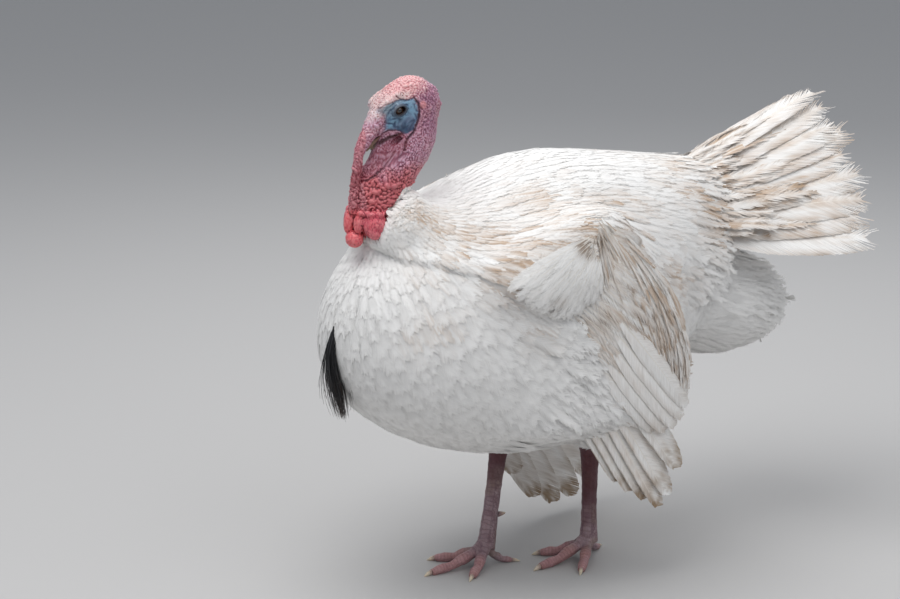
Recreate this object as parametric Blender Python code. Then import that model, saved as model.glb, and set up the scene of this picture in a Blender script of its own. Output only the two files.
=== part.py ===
"""A life-size standing tom turkey of a white farm breed, in parts, as a still model.

Metres, +Z up. The bird faces -Y, its left side is +X, and it stands on the floor z = 0.
Body forms are lofts of rings, flight feathers are fan-shaped plates, and a piece is carved
by the pieces that it meets, which leaves a thin gap between them.
"""

import math

import bmesh
import bpy
import numpy as np
from mathutils import Matrix, Vector

GAP = 0.0003  # space between pieces that meet

# Trunk: an egg whose front and back halves taper by their own powers.
TRUNK_MIDDLE_Y = 0.04
BREAST_LENGTH = 0.354  # from the middle to the front of the breast
RUMP_LENGTH = 0.365  # from the middle to the root of the tail
TRUNK_HALF_WIDTH = 0.190
TRUNK_HALF_HEIGHT = 0.228
TRUNK_AXIS_Z = 0.419
BREAST_POWER = 2.2  # how full the breast is across
KEEL_POWER = 2.02  # and from back to keel
RUMP_POWER = 1.7
BREAST_DROP = 0.015  # how far the axis sinks to the front of the breast
SHOULDER_SLOPE = 0.015  # how much lower the back is between the neck and the middle
RUMP_LIFT = 0.120  # how far the axis climbs to the tail root
PEAR = 0.12  # how much wider the trunk is low down than high up

# Head and neck.
SKULL = Vector((0.0, -0.182, 0.732))
HEAD_PITCH = math.radians(34)  # the bill points this far down
HEAD_YAW = math.radians(6)  # turned to the bird's right
EYE_RADIUS = 0.0078
BILL_LENGTH = 0.040

# Legs.
HOCK_Z = 0.186
PAD_Z = 0.024
TOE_FLAT = 0.0022  # how far a toe's round underside is flattened by the floor
CLAW_LENGTH = 0.0135

# Tail.
RECTRICES = 18
TAIL_ROOT = Vector((0.0, 0.300, 0.538))
RIDGE_LENGTH = 0.358  # of the middle tail feathers
EAVE_LENGTH = 0.310  # of the outermost

# Wings: where the flight feathers root and end, from the first feather to the last.
# Each key is a share of the way, then the distance out from the middle, y and z.
PRIMARIES = 10
SECONDARIES = 11
WING_LINES = {
    "left": {
        "primary_roots": ((0, 0.176, -0.060, 0.370), (1, 0.190, -0.010, 0.410)),
        "primary_tips": (
            (0, 0.172, 0.045, 0.172),
            (0.45, 0.180, 0.130, 0.128),
            (0.7, 0.188, 0.155, 0.165),
            (1, 0.196, 0.176, 0.235),
        ),
        "secondary_roots": ((0, 0.196, -0.060, 0.440), (0.5, 0.196, 0.000, 0.500), (1, 0.186, 0.040, 0.560)),
        "secondary_tips": (
            (0, 0.210, 0.172, 0.245),
            (0.3, 0.212, 0.194, 0.300),
            (0.7, 0.206, 0.160, 0.420),
            (1, 0.186, 0.105, 0.525),
        ),
    },
    "right": {
        "primary_roots": ((0, 0.165, -0.020, 0.310), (1, 0.185, 0.040, 0.370)),
        "primary_tips": (
            (0, 0.130, 0.160, 0.052),
            (0.45, 0.140, 0.262, 0.034),
            (0.7, 0.152, 0.296, 0.070),
            (1, 0.170, 0.306, 0.150),
        ),
        "secondary_roots": ((0, 0.194, -0.040, 0.410), (0.5, 0.196, 0.010, 0.480), (1, 0.186, 0.045, 0.555)),
        "secondary_tips": (
            (0, 0.196, 0.296, 0.170),
            (0.3, 0.206, 0.278, 0.255),
            (0.7, 0.204, 0.205, 0.390),
            (1, 0.186, 0.115, 0.518),
        ),
    },
}

RING = 24  # sides of the larger lofts


def material(name, colour, roughness):
    made = bpy.data.materials.new(name)
    made.use_nodes = True
    shader = made.node_tree.nodes["Principled BSDF"]
    shader.inputs["Base Color"].default_value = (*colour, 1.0)
    shader.inputs["Roughness"].default_value = roughness
    shader.inputs["Metallic"].default_value = 0.0
    return made


def smooth_through(keys):
    """A smooth curve through (t, value, value, ...) keys, as a function of t."""
    keys = np.array(keys, float)
    t, v = keys[:, 0], keys[:, 1:]
    slopes = np.gradient(v, t, axis=0)

    def at(x):
        i = int(np.clip(np.searchsorted(t, x) - 1, 0, len(t) - 2))
        h = t[i + 1] - t[i]
        s = float(np.clip((x - t[i]) / h, 0, 1))
        a, b = 2 * s**3 - 3 * s**2 + 1, s**3 - 2 * s**2 + s
        c, d = -2 * s**3 + 3 * s**2, s**3 - s**2
        return a * v[i] + b * h * slopes[i] + c * v[i + 1] + d * h * slopes[i + 1]

    return at


def object_of(name, bm, finish):
    """The bmesh as a named object, its normals facing out."""
    bmesh.ops.recalc_face_normals(bm, faces=bm.faces)
    mesh = bpy.data.meshes.new(name)
    bm.to_mesh(mesh)
    bm.free()
    mesh.materials.append(finish)
    mesh.shade_smooth()
    made = bpy.data.objects.new(name, mesh)
    bpy.context.scene.collection.objects.link(made)
    return made


def loft(name, rings, finish):
    """A closed body through rings of points, each end closed by a fan to its middle."""
    bm = bmesh.new()
    loops = [[bm.verts.new(p) for p in ring] for ring in rings]
    n = len(loops[0])
    for one, two in zip(loops, loops[1:]):
        for i in range(n):
            bm.faces.new((one[i], one[(i + 1) % n], two[(i + 1) % n], two[i]))
    for loop in (loops[0], loops[-1]):
        middle = bm.verts.new(sum((v.co for v in loop), Vector()) / n)
        for i in range(n):
            bm.faces.new((loop[i], loop[(i + 1) % n], middle))
    return object_of(name, bm, finish)


def ring_at(centre, across, up, half_width, half_height, power=2.0, pear=0.0, count=RING):
    """A superellipse ring. pear makes it wider below than above."""
    points = []
    for k in range(count):
        angle = 2 * math.pi * k / count
        c, s = math.cos(angle), math.sin(angle)
        c = math.copysign(abs(c) ** (2 / power), c)
        s = math.copysign(abs(s) ** (2 / power), s)
        wide = half_width * c * (1 - pear * s)
        points.append(Vector(centre) + Vector(across) * wide + Vector(up) * half_height * s)
    return points


def tube(name, path, radii, finish, count=14, flatten=1.0, side=Vector((1, 0, 0))):
    """A body along a path of points, with a radius at each. flatten squeezes it across side."""
    path = [Vector(p) for p in path]
    rings = []
    for i, (centre, radius) in enumerate(zip(path, radii)):
        ahead = path[min(i + 1, len(path) - 1)] - path[max(i - 1, 0)]
        ahead.normalize()
        up = ahead.cross(side).normalized()
        across = up.cross(ahead).normalized()
        rings.append(ring_at(centre, across, up, radius * flatten, radius, count=count))
    return loft(name, rings, finish)


def egg_radii(steps, power=2.0):
    """Radii from one pole to the other of a round body, and where each ring lies, from -1 to 1."""
    places = [-math.cos(math.pi * (i + 0.35) / (steps - 0.3)) for i in range(steps)]
    return [(p, (1 - abs(p) ** power) ** (1 / power)) for p in places]


def egg(name, centre, axes, sizes, finish, steps=9, count=16, power=2.0):
    """A round body with its own axes (three vectors, the first along it) and three half sizes."""
    along, across, up = (Vector(a).normalized() for a in axes)
    rings = [
        ring_at(Vector(centre) + along * sizes[0] * p, across, up, sizes[1] * r, sizes[2] * r, count=count)
        for p, r in egg_radii(steps, power)
    ]
    return loft(name, rings, finish)


def fan(name, roots, tips, finish, thick, thin, rows=3, bow=Vector((0, 0, 0)), notch=0.055):
    """A plate of feathers side by side: its edge has a rounded tip for each and a notch between two."""
    columns = []
    count = len(roots)
    for i in range(count):
        columns.append((roots[i], tips[i]))
        if i + 1 < count:
            root = (roots[i] + roots[i + 1]) / 2
            tip = (tips[i] + tips[i + 1]) / 2
            columns.append((root, tip + (root - tip) * notch))
    first_step, last_step = (roots[0] - roots[1]) / 2, (roots[-1] - roots[-2]) / 2
    tip_first, tip_last = (tips[0] - tips[1]) / 2, (tips[-1] - tips[-2]) / 2
    edge = 1.6 * notch
    start = (roots[0] + first_step, (tips[0] + tip_first).lerp(roots[0], edge))
    end = (roots[-1] + last_step, (tips[-1] + tip_last).lerp(roots[-1], edge))
    columns = [start, *columns, end]
    grid = [
        [r.lerp(t, k / rows) + bow * (4 * (k / rows) * (1 - k / rows)) for k in range(rows + 1)]
        for r, t in columns
    ]
    last = len(grid) - 1
    bm = bmesh.new()
    faces_of = {}
    for c in range(last + 1):
        for k in range(rows + 1):
            side = grid[min(c + 1, last)][k] - grid[max(c - 1, 0)][k]
            ahead = grid[c][min(k + 1, rows)] - grid[c][max(k - 1, 0)]
            normal = side.cross(ahead).normalized()
            half = (thick + (thin - thick) * k / rows) / 2
            for layer, sign in enumerate((1, -1)):
                faces_of[layer, c, k] = bm.verts.new(grid[c][k] + normal * half * sign)
    for layer in (0, 1):
        for c in range(last):
            for k in range(rows):
                corners = [(c, k), (c + 1, k), (c + 1, k + 1), (c, k + 1)]
                bm.faces.new([faces_of[layer, *p] for p in corners])
    rim = [(c, 0) for c in range(last)] + [(last, k) for k in range(rows)]
    rim += [(c, rows) for c in range(last, 0, -1)] + [(0, k) for k in range(rows, 0, -1)]
    for a, b in zip(rim, rim[1:] + rim[:1]):
        bm.faces.new((faces_of[0, *a], faces_of[0, *b], faces_of[1, *b], faces_of[1, *a]))
    return object_of(name, bm, finish)


def largest_body(mesh):
    """Drops all but the largest connected body, such as a sliver that a cut leaves."""
    bm = bmesh.new()
    bm.from_mesh(mesh)
    left, bodies = set(bm.verts), []
    while left:
        body, front = set(), [left.pop()]
        while front:
            vert = front.pop()
            body.add(vert)
            for edge in vert.link_edges:
                other = edge.other_vert(vert)
                if other in left:
                    left.remove(other)
                    front.append(other)
        bodies.append(body)
    bodies.sort(key=len)
    for body in bodies[:-1]:
        bmesh.ops.delete(bm, geom=list(body), context="VERTS")
    bmesh.ops.dissolve_degenerate(bm, edges=bm.edges, dist=2e-6)
    bm.to_mesh(mesh)
    bm.free()


def copy_of(piece):
    made = piece.copy()
    made.data = piece.data.copy()
    bpy.context.scene.collection.objects.link(made)
    return made


def cut_by(piece, neighbour, gap):
    """What is left of the piece outside the neighbour grown by the gap, as a mesh."""
    grown = copy_of(neighbour)
    normals = [v.normal.copy() for v in grown.data.vertices]
    for vert, normal in zip(grown.data.vertices, normals):
        vert.co += normal * gap
    cut = piece.modifiers.new("carve", "BOOLEAN")
    cut.operation, cut.object, cut.solver = "DIFFERENCE", grown, "EXACT"
    graph = bpy.context.evaluated_depsgraph_get()
    mesh = bpy.data.meshes.new_from_object(piece.evaluated_get(graph))
    piece.modifiers.remove(cut)
    bpy.data.objects.remove(grown)
    return mesh


def volume_of(mesh):
    bm = bmesh.new()
    bm.from_mesh(mesh)
    volume = bm.calc_volume()
    bm.free()
    return volume


def carve(piece, *neighbours):
    """Cuts the piece by each neighbour, so that they meet with a thin gap and no overlap."""
    for neighbour in neighbours:
        enough = 0.3 * volume_of(piece.data)
        for widen in (1.0, 1.12, 1.25, 1.4):  # a wider gap where a cut fails and leaves next to nothing
            mesh = cut_by(piece, neighbour, GAP * widen)
            if volume_of(mesh) > enough:
                break
        piece.data = mesh
        largest_body(mesh)
        mesh.name = piece.name
    return piece


def flatten_underside(piece, floor=0.0):
    """Cuts the piece flat at the floor."""
    bm = bmesh.new()
    bm.from_mesh(piece.data)
    geometry = bm.verts[:] + bm.edges[:] + bm.faces[:]
    found = bmesh.ops.bisect_plane(
        bm, geom=geometry, plane_co=(0, 0, floor), plane_no=(0, 0, -1), clear_outer=True
    )
    rim = [e for e in found["geom_cut"] if isinstance(e, bmesh.types.BMEdge)]
    bmesh.ops.contextual_create(bm, geom=rim)
    bm.to_mesh(piece.data)
    bm.free()
    return piece


def trunk_section(y):
    """Axis height, half width and half height of the trunk at y."""
    if y < TRUNK_MIDDLE_Y:
        t = (TRUNK_MIDDLE_Y - y) / BREAST_LENGTH
        across, upward, lift = BREAST_POWER, KEEL_POWER, -BREAST_DROP * t**2
        slope = SHOULDER_SLOPE * math.sin(math.pi * min(t, 1.0))
    else:
        t = (y - TRUNK_MIDDLE_Y) / RUMP_LENGTH
        across, upward, lift, slope = RUMP_POWER, RUMP_POWER, RUMP_LIFT * t**2.4, 0.0
    wide, tall = (max(0.0, 1 - min(t, 1.0) ** power) ** (1 / power) for power in (across, upward))
    return TRUNK_AXIS_Z + lift - slope / 2, TRUNK_HALF_WIDTH * wide, TRUNK_HALF_HEIGHT * tall - slope / 2


def build_trunk(plumage):
    rings, steps = [], 18
    length = BREAST_LENGTH + RUMP_LENGTH
    for i in range(steps):
        share = (1 - math.cos(math.pi * (i + 0.4) / (steps - 0.2))) / 2
        y = TRUNK_MIDDLE_Y - BREAST_LENGTH + length * share
        z, half_width, half_height = trunk_section(y)
        rings.append(
            ring_at((0, y, z), (1, 0, 0), (0, 0, 1), half_width, half_height, 2.15, PEAR, 26)
        )
    return loft("trunk", rings, plumage)


def build_vent(plumage):
    """The loose feathers under the root of the tail."""
    axes = [(0, 1, -0.12), (1, 0, 0), (0, 0.12, 1)]
    return egg("vent_fluff", (0, 0.390, 0.368), axes, (0.129, 0.095, 0.089), plumage, 8, 16)


def build_cape(plumage):
    """The collar of feathers that the neck comes out of, high behind and low in front."""
    axes = [(0, -0.45, -0.89), (1, 0, 0), (0, -0.89, 0.45)]
    return egg("neck_cape", (0, -0.204, 0.566), axes, (0.056, 0.072, 0.048), plumage, 7, 16)


def build_tail(quills):
    """Eighteen tail feathers, spread and folded down a little to each side like a roof."""
    ridge, eave = math.radians(27), math.radians(-5)
    spread = math.radians(33)
    roots, tips = [], []
    for i in range(RECTRICES):
        share = 2 * i / (RECTRICES - 1) - 1  # -1 on the bird's right, 1 on its left
        turn = spread * share
        climb = ridge + (eave - ridge) * abs(share) ** 1.3
        ahead = Vector((math.sin(turn) * math.cos(climb), math.cos(turn) * math.cos(climb), math.sin(climb)))
        root = TAIL_ROOT + Vector((0.045 * share, 0, -0.040 * share * share))
        roots.append(root)
        tips.append(root + ahead * (RIDGE_LENGTH + (EAVE_LENGTH - RIDGE_LENGTH) * abs(share)))
    return fan("tail_feathers", roots, tips, quills, 0.006, 0.0016, notch=0.03)


def head_axes():
    """Forward, left and up of the head."""
    turn = Matrix.Rotation(-HEAD_YAW, 3, "Z") @ Matrix.Rotation(HEAD_PITCH, 3, "X")
    return turn @ Vector((0, -1, 0)), turn @ Vector((1, 0, 0)), turn @ Vector((0, 0, 1))


def in_head(forward, left, up):
    f, l, u = head_axes()
    return SKULL + f * forward + l * left + u * up


def build_head(bare_skin):
    """The head, from the nape to the root of the bill."""
    f, l, u = head_axes()
    shape = smooth_through(
        (
            (-0.052, 0.004, 0.006, -0.006),
            (-0.044, 0.018, 0.024, -0.005),
            (-0.028, 0.0275, 0.038, -0.002),
            (-0.008, 0.031, 0.043, 0.0),
            (0.012, 0.0295, 0.040, 0.0),
            (0.030, 0.0250, 0.0365, 0.003),
            (0.044, 0.0190, 0.0300, 0.002),
            (0.056, 0.0130, 0.0200, -0.004),
        )
    )
    rings = []
    for i in range(13):
        forward = -0.052 + 0.108 * i / 12
        half_width, half_height, lift = shape(forward)
        rings.append(ring_at(SKULL + f * forward + u * lift, l, u, half_width, half_height, 2.1, 0.0, 16))
    return loft("head", rings, bare_skin)


def build_bill(horn):
    """Upper and lower halves of the bill, which curve down to the point."""
    f, l, u = head_axes()
    pieces = []
    for name, top, bottom, length in (
        ("bill_upper", 0.0045, -0.0098, BILL_LENGTH),
        ("bill_lower", -0.0104, -0.0190, BILL_LENGTH * 0.84),
    ):
        rings = []
        for i in range(9):
            t = i / 8
            taper = (1 - t**2.2) ** 0.6 * 0.97 + 0.03
            drop = -0.006 * t**2
            high, low = top * taper + drop, bottom + (top - bottom) * 0.10 * t + drop
            if name == "bill_lower":
                high, low = top + drop * 0.5, bottom + (top - bottom) * (1 - taper) * 0.8 + drop * 0.5
            centre = in_head(0.046 + length * t, 0, (high + low) / 2)
            rings.append(ring_at(centre, l, u, 0.0120 * taper, (high - low) / 2, 2.0, 0.0, 12))
        pieces.append(loft(name, rings, horn))
    return pieces


def build_eyes(eye_ball):
    eyes = []
    for side, sign in (("left", 1), ("right", -1)):
        centre = in_head(0.019, 0.0205 * sign, 0.0145)
        eyes.append(egg(f"eye_{side}", centre, head_axes(), (EYE_RADIUS,) * 3, eye_ball, 7, 10))
    return eyes


def build_neck(bare_skin):
    """The bare neck, thickest where it leaves the feathers."""
    shape = smooth_through(
        (
            (0.0, -0.168, 0.716, 0.0300),
            (0.2, -0.174, 0.686, 0.0315),
            (0.4, -0.198, 0.654, 0.0310),
            (0.6, -0.221, 0.624, 0.0315),
            (0.8, -0.239, 0.594, 0.0335),
            (1.0, -0.248, 0.560, 0.0350),
        )
    )
    path, radii = [], []
    for i in range(10):
        y, z, radius = shape(i / 9)
        path.append((0, y, z))
        radii.append(radius)
    return tube("neck", path, radii, bare_skin, 14, 0.92)


def build_snood(red_skin):
    """The long soft lobe that grows over the bill and hangs before the throat."""
    shape = smooth_through(
        (
            (0.0, 0.000, -0.222, 0.728, 0.0090),
            (0.2, 0.001, -0.246, 0.715, 0.0095),
            (0.4, 0.003, -0.262, 0.686, 0.0080),
            (0.7, 0.004, -0.270, 0.640, 0.0070),
            (1.0, 0.003, -0.276, 0.598, 0.0066),
        )
    )
    path, radii = [], []
    for i in range(11):
        x, y, z, radius = shape(i / 10)
        path.append((x, y, z))
        radii.append(radius * (0.55 if i == 10 else 1.0))
    return tube("snood", path, radii, red_skin, 9)


def build_caruncles(red_skin):
    """The swollen red lobes at the foot of the neck."""
    lobes = (
        ("caruncle_front", (0.003, -0.274, 0.560), 0.0165, 0.026),
        ("caruncle_left", (0.026, -0.254, 0.574), 0.0190, 0.022),
        ("caruncle_right", (-0.028, -0.252, 0.574), 0.0190, 0.022),
    )
    axes = [(0, -0.35, -1), (1, 0, 0), (0, -1, 0.35)]
    return [egg(n, c, axes, (tall, wide, wide), red_skin, 7, 12) for n, c, wide, tall in lobes]


def build_beard(bristle):
    """The hank of coarse black bristles on the middle of the breast."""
    shape = smooth_through(
        (
            (0.0, -0.300, 0.415, 0.0040),
            (0.25, -0.306, 0.385, 0.0105),
            (0.6, -0.304, 0.340, 0.0135),
            (0.85, -0.299, 0.308, 0.0110),
            (1.0, -0.296, 0.290, 0.0030),
        )
    )
    path, radii = [], []
    for i in range(9):
        y, z, radius = shape(i / 8)
        path.append((0, y, z))
        radii.append(radius)
    return tube("beard", path, radii, bristle, 10, 0.85)


def wing_line(keys, sign, count):
    """Points along a smooth line through (share, x, y, z) keys, mirrored for the right wing."""
    shape = smooth_through(keys)
    found = (shape(i / (count - 1)) for i in range(count))
    return [Vector((sign * x, y, z)) for x, y, z in found]


def build_wing(side, sign, plumage, quills):
    """The folded arm, and the fans of secondaries and primaries that hang from it."""
    arm = egg(
        f"wing_arm_{side}",
        (0.158 * sign, -0.014, 0.500),
        [(0, 1, 0.36), (1, 0, 0), (0, -0.36, 1)],
        (0.130, 0.048, 0.078),
        plumage,
        9,
        16,
        2.3,
    )
    bulge = Vector((0.012 * sign, 0, 0))
    keys = WING_LINES[side]
    secondaries = fan(
        f"wing_secondaries_{side}",
        wing_line(keys["secondary_roots"], sign, SECONDARIES),
        wing_line(keys["secondary_tips"], sign, SECONDARIES),
        quills,
        0.010,
        0.002,
        bow=bulge,
        notch=0.02,
    )
    primaries = fan(
        f"wing_primaries_{side}",
        wing_line(keys["primary_roots"], sign, PRIMARIES),
        wing_line(keys["primary_tips"], sign, PRIMARIES),
        quills,
        0.007,
        0.0016,
        bow=bulge * 0.6,
        notch=0.035,
    )
    return arm, secondaries, primaries


def foot_point(pad, heading, forward, left):
    """A floor place from the foot's pad, along its heading and to its left."""
    ahead = Vector((math.sin(heading), -math.cos(heading), 0))
    aside = Vector((math.cos(heading), math.sin(heading), 0))
    return Vector((pad[0], pad[1], 0)) + ahead * forward + aside * left


def build_leg(side, sign, hock, pad, heading, plumage, leg_skin, horn):
    """Feathered thigh, scaly shank with its spur, and a foot of four clawed toes."""
    hock, pad = Vector(hock), Vector(pad)
    hip = hock + Vector((0.030 * sign, -0.045, 0.100))
    thigh_path = [hip.lerp(hock, t) for t in (0.0, 0.25, 0.5, 0.75, 0.95)]
    thigh = tube(f"thigh_{side}", thigh_path, (0.055, 0.052, 0.042, 0.030, 0.019), plumage, 16)

    radii = (0.0165, 0.0180, 0.0166, 0.0141, 0.0130, 0.0127, 0.0136, 0.0150, 0.0156)
    shank_path = [hock.lerp(pad, t) for t in (-0.06, 0.0, 0.08, 0.2, 0.4, 0.62, 0.8, 0.93, 1.0)]
    shank = tube(f"shank_{side}", shank_path, radii, leg_skin, 12, 0.92)

    spur_root = hock.lerp(pad, 0.70)
    back_in = Vector((-0.45 * sign, 0.9, 0.12)).normalized()
    spur_path = [spur_root + back_in * d for d in (0.004, 0.012, 0.018, 0.024)]
    spur = tube(f"spur_{side}", spur_path, (0.0062, 0.0052, 0.0036, 0.0012), horn, 8)

    pieces = [thigh, shank, spur]
    claws = []
    radius = 0.0088
    for toe, spread, reach, start in (
        ("inner", -40, 0.071, 0.85),
        ("middle", 0, 0.096, 1.0),
        ("outer", 40, 0.075, 0.85),
        ("hind", 205, 0.036, 0.65),
    ):
        angle = math.radians(spread) * sign
        out = foot_point(pad, heading, math.cos(angle), math.sin(angle)) - Vector((pad[0], pad[1], 0))
        path, radii = [], []
        for i in range(6):
            t = i / 5
            high = PAD_Z * start * (1 - t) ** 2.2
            knuckle = 1 + 0.10 * math.cos(t * math.pi * 5)
            r = radius * (0.72 if toe == "hind" else 1.0) * (1.12 - 0.34 * t) * knuckle
            path.append(Vector((pad[0], pad[1], 0)) + out * (0.004 + reach * t) + Vector((0, 0, high + r - TOE_FLAT)))
            radii.append(r)
        piece = tube(f"toe_{toe}_{side}", path, radii, leg_skin, 8, 1.0, Vector((out.y, -out.x, 0)))
        flatten_underside(piece)
        claw_path, claw_radii = [], []
        tip_r = radii[-1]
        for i in range(4):
            t = i / 3
            claw_r = tip_r * 0.82 * (1 - t) ** 0.62 + 0.0009
            centre = path[-1] + out * (-0.006 + (CLAW_LENGTH + 0.006) * t)
            centre.z = max(claw_r - 0.0004, (path[-1].z + 0.0018) * (1 - t**1.7))
            claw_path.append(centre)
            claw_radii.append(claw_r)
        claw = tube(f"claw_{toe}_{side}", claw_path, claw_radii, horn, 6, 0.8, Vector((out.y, -out.x, 0)))
        flatten_underside(claw)
        pieces.append(piece)
        claws.append(claw)
    return pieces, claws


def clear_scene():
    for found in list(bpy.data.objects):
        bpy.data.objects.remove(found)


def centre_on_origin():
    """Moves the whole bird so that the middle of its outline on the floor is the origin."""
    meshes = [found.data for found in bpy.context.scene.objects]
    points = np.array([vert.co for mesh in meshes for vert in mesh.vertices])
    low, high = points.min(axis=0), points.max(axis=0)
    shift = Vector((-(low[0] + high[0]) / 2, -(low[1] + high[1]) / 2, 0))
    for mesh in meshes:
        mesh.transform(Matrix.Translation(shift))


def main():
    clear_scene()
    plumage = material("plumage", (0.86, 0.84, 0.80), 0.75)
    quills = material("flight_feathers", (0.84, 0.80, 0.72), 0.65)
    bare_skin = material("bare_skin", (0.62, 0.24, 0.25), 0.50)
    red_skin = material("caruncles", (0.62, 0.08, 0.08), 0.45)
    horn = material("horn", (0.62, 0.50, 0.38), 0.40)
    leg_skin = material("leg_skin", (0.42, 0.27, 0.26), 0.60)
    eye_ball = material("eye", (0.05, 0.03, 0.02), 0.10)
    bristle = material("beard", (0.02, 0.02, 0.025), 0.50)

    trunk = build_trunk(plumage)
    vent = carve(build_vent(plumage), trunk)
    tail = carve(build_tail(quills), trunk, vent)
    head = build_head(bare_skin)
    bill_upper, bill_lower = build_bill(horn)
    eyes = build_eyes(eye_ball)
    cape = carve(build_cape(plumage), trunk)
    neck = carve(build_neck(bare_skin), trunk, cape, head)
    snood = carve(build_snood(red_skin), head, bill_upper)
    carve(bill_upper, head)
    carve(bill_lower, head, bill_upper)
    for eye in eyes:
        carve(head, eye)
    lobes = build_caruncles(red_skin)
    for lobe in lobes:
        carve(lobe, trunk, cape, neck)
    carve(lobes[1], lobes[0])
    carve(lobes[2], lobes[0])
    carve(snood, neck, lobes[0])
    carve(build_beard(bristle), trunk)

    for side, sign in (("left", 1), ("right", -1)):
        arm, secondaries, primaries = build_wing(side, sign, plumage, quills)
        carve(arm, trunk)
        carve(secondaries, trunk, arm)
        carve(primaries, trunk, arm, secondaries)

    for side, sign, hock, pad, heading in (
        ("left", 1, (0.052, 0.122, HOCK_Z), (0.040, 0.131, PAD_Z), math.radians(4)),
        ("right", -1, (-0.052, 0.026, HOCK_Z), (-0.024, -0.020, PAD_Z), math.radians(-2)),
    ):
        pieces, claws = build_leg(side, sign, hock, pad, heading, plumage, leg_skin, horn)
        thigh, shank, spur, *toes = pieces
        carve(thigh, trunk)
        carve(shank, trunk, thigh)
        carve(spur, shank)
        uncut = [copy_of(toe) for toe in toes]
        for i, toe in enumerate(toes):
            carve(toe, *uncut[:i], shank)
        for toe in uncut:
            bpy.data.objects.remove(toe)
        for claw, toe in zip(claws, toes):
            carve(claw, toe)
    centre_on_origin()


main()
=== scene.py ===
"""A life-size white domestic tom turkey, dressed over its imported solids.

One skin carries the bare head, neck, snood and caruncles, modelled as clay on a grid, and the
body under the plumage. Feathers are vanes of separate barb locks that follow the lie of the coat.
Everything is worked out in bird coordinates, where x = 0 is the middle of the bird and the
floor is z = 0, and is moved to the row's frame by ORIGIN when a mesh is made.
"""

import math
from itertools import product

import bmesh
import bpy
import numpy as np
from mathutils import Matrix, Vector
from mathutils.bvhtree import BVHTree


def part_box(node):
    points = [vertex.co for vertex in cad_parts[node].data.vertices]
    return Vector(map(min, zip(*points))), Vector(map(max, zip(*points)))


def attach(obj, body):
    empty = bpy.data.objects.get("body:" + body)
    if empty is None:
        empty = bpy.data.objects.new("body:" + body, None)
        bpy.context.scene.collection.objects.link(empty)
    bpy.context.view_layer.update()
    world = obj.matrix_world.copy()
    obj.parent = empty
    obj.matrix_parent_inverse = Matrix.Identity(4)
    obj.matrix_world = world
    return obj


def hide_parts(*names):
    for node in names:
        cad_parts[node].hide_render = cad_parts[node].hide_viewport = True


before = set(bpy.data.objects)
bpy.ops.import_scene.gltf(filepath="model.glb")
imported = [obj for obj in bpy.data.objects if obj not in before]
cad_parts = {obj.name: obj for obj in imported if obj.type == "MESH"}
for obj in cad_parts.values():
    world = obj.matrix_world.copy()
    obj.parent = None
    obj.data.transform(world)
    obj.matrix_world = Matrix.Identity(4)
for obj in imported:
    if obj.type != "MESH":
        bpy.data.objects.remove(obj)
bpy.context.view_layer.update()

SIDES = (("left", 1), ("right", -1))

# Head: forward, left and up of the skull, in metres, as the solids have them.
SKULL = np.array((0.0, -0.182, 0.732))
HEAD_PITCH = math.radians(34)
HEAD_YAW = math.radians(6)
EYE_PLACE = (0.019, 0.0205, 0.0145)
EYE_RADIUS = 0.0078

NECK_KEYS = (  # share of the way down, y, z, radius
    (0.0, -0.168, 0.716, 0.0300),
    (0.2, -0.174, 0.686, 0.0312),
    (0.4, -0.198, 0.654, 0.0305),
    (0.6, -0.221, 0.624, 0.0305),
    (0.8, -0.236, 0.594, 0.0300),
    (1.0, -0.234, 0.560, 0.0270),
)
SNOOD_KEYS = (  # share of the way down, x, y, z, radius
    (0.00, 0.000, -0.214, 0.7380, 0.0150),
    (0.12, 0.001, -0.2325, 0.7225, 0.0115),
    (0.26, 0.003, -0.2490, 0.7005, 0.0086),
    (0.40, 0.003, -0.2622, 0.6795, 0.0064),
    (0.58, 0.003, -0.2684, 0.6510, 0.0048),
    (0.78, 0.003, -0.2716, 0.6275, 0.0046),
    (1.00, 0.002, -0.2750, 0.5930, 0.0056),
)

# Plumage.
COAT_DEPTH = 0.0042  # from the tips of the contour feathers down to the skin
NECK_BASE = np.array((0.0, -0.222, 0.605))  # the coat runs away from here
WHITE = (0.90, 0.89, 0.87)
TAN = (0.54, 0.385, 0.265)


def linear(*srgb):
    """A linear colour from sRGB numbers of 0 to 255."""
    c = np.array(srgb) / 255
    return np.where(c <= 0.04045, c / 12.92, ((c + 0.055) / 1.055) ** 2.4)


def unit(v):
    return v / np.maximum(np.linalg.norm(v, axis=-1, keepdims=True), 1e-12)


def ramp(x, low, high):
    """0 below low, 1 above high, smooth between."""
    t = np.clip((x - low) / (high - low), 0, 1)
    return t * t * (3 - 2 * t)


def band(x, rise, risen, fall, fallen):
    """1 from risen to fall, 0 before rise and after fallen, smooth between."""
    return ramp(x, rise, risen) * (1 - ramp(x, fall, fallen))


def bell(x, width):
    """1 at 0, falling to nothing on both sides over about two widths."""
    return np.exp(-((x / width) ** 2))


def square_to(v, axis):
    """The way of v made square to the axis."""
    return unit(v - axis * (v * axis).sum(-1, keepdims=True))


def mix(a, b, t):
    """From a to b by t. Where a or b is a colour or a list of them, t has one number for each."""
    a, b, t = np.asarray(a, float), np.asarray(b, float), np.asarray(t, float)
    wide = a if a.ndim >= b.ndim else b
    if t.ndim and wide.ndim and wide.shape != t.shape and (wide.ndim == 1 or t.ndim < wide.ndim):
        t = t[..., None]
    return a + (b - a) * t


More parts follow.
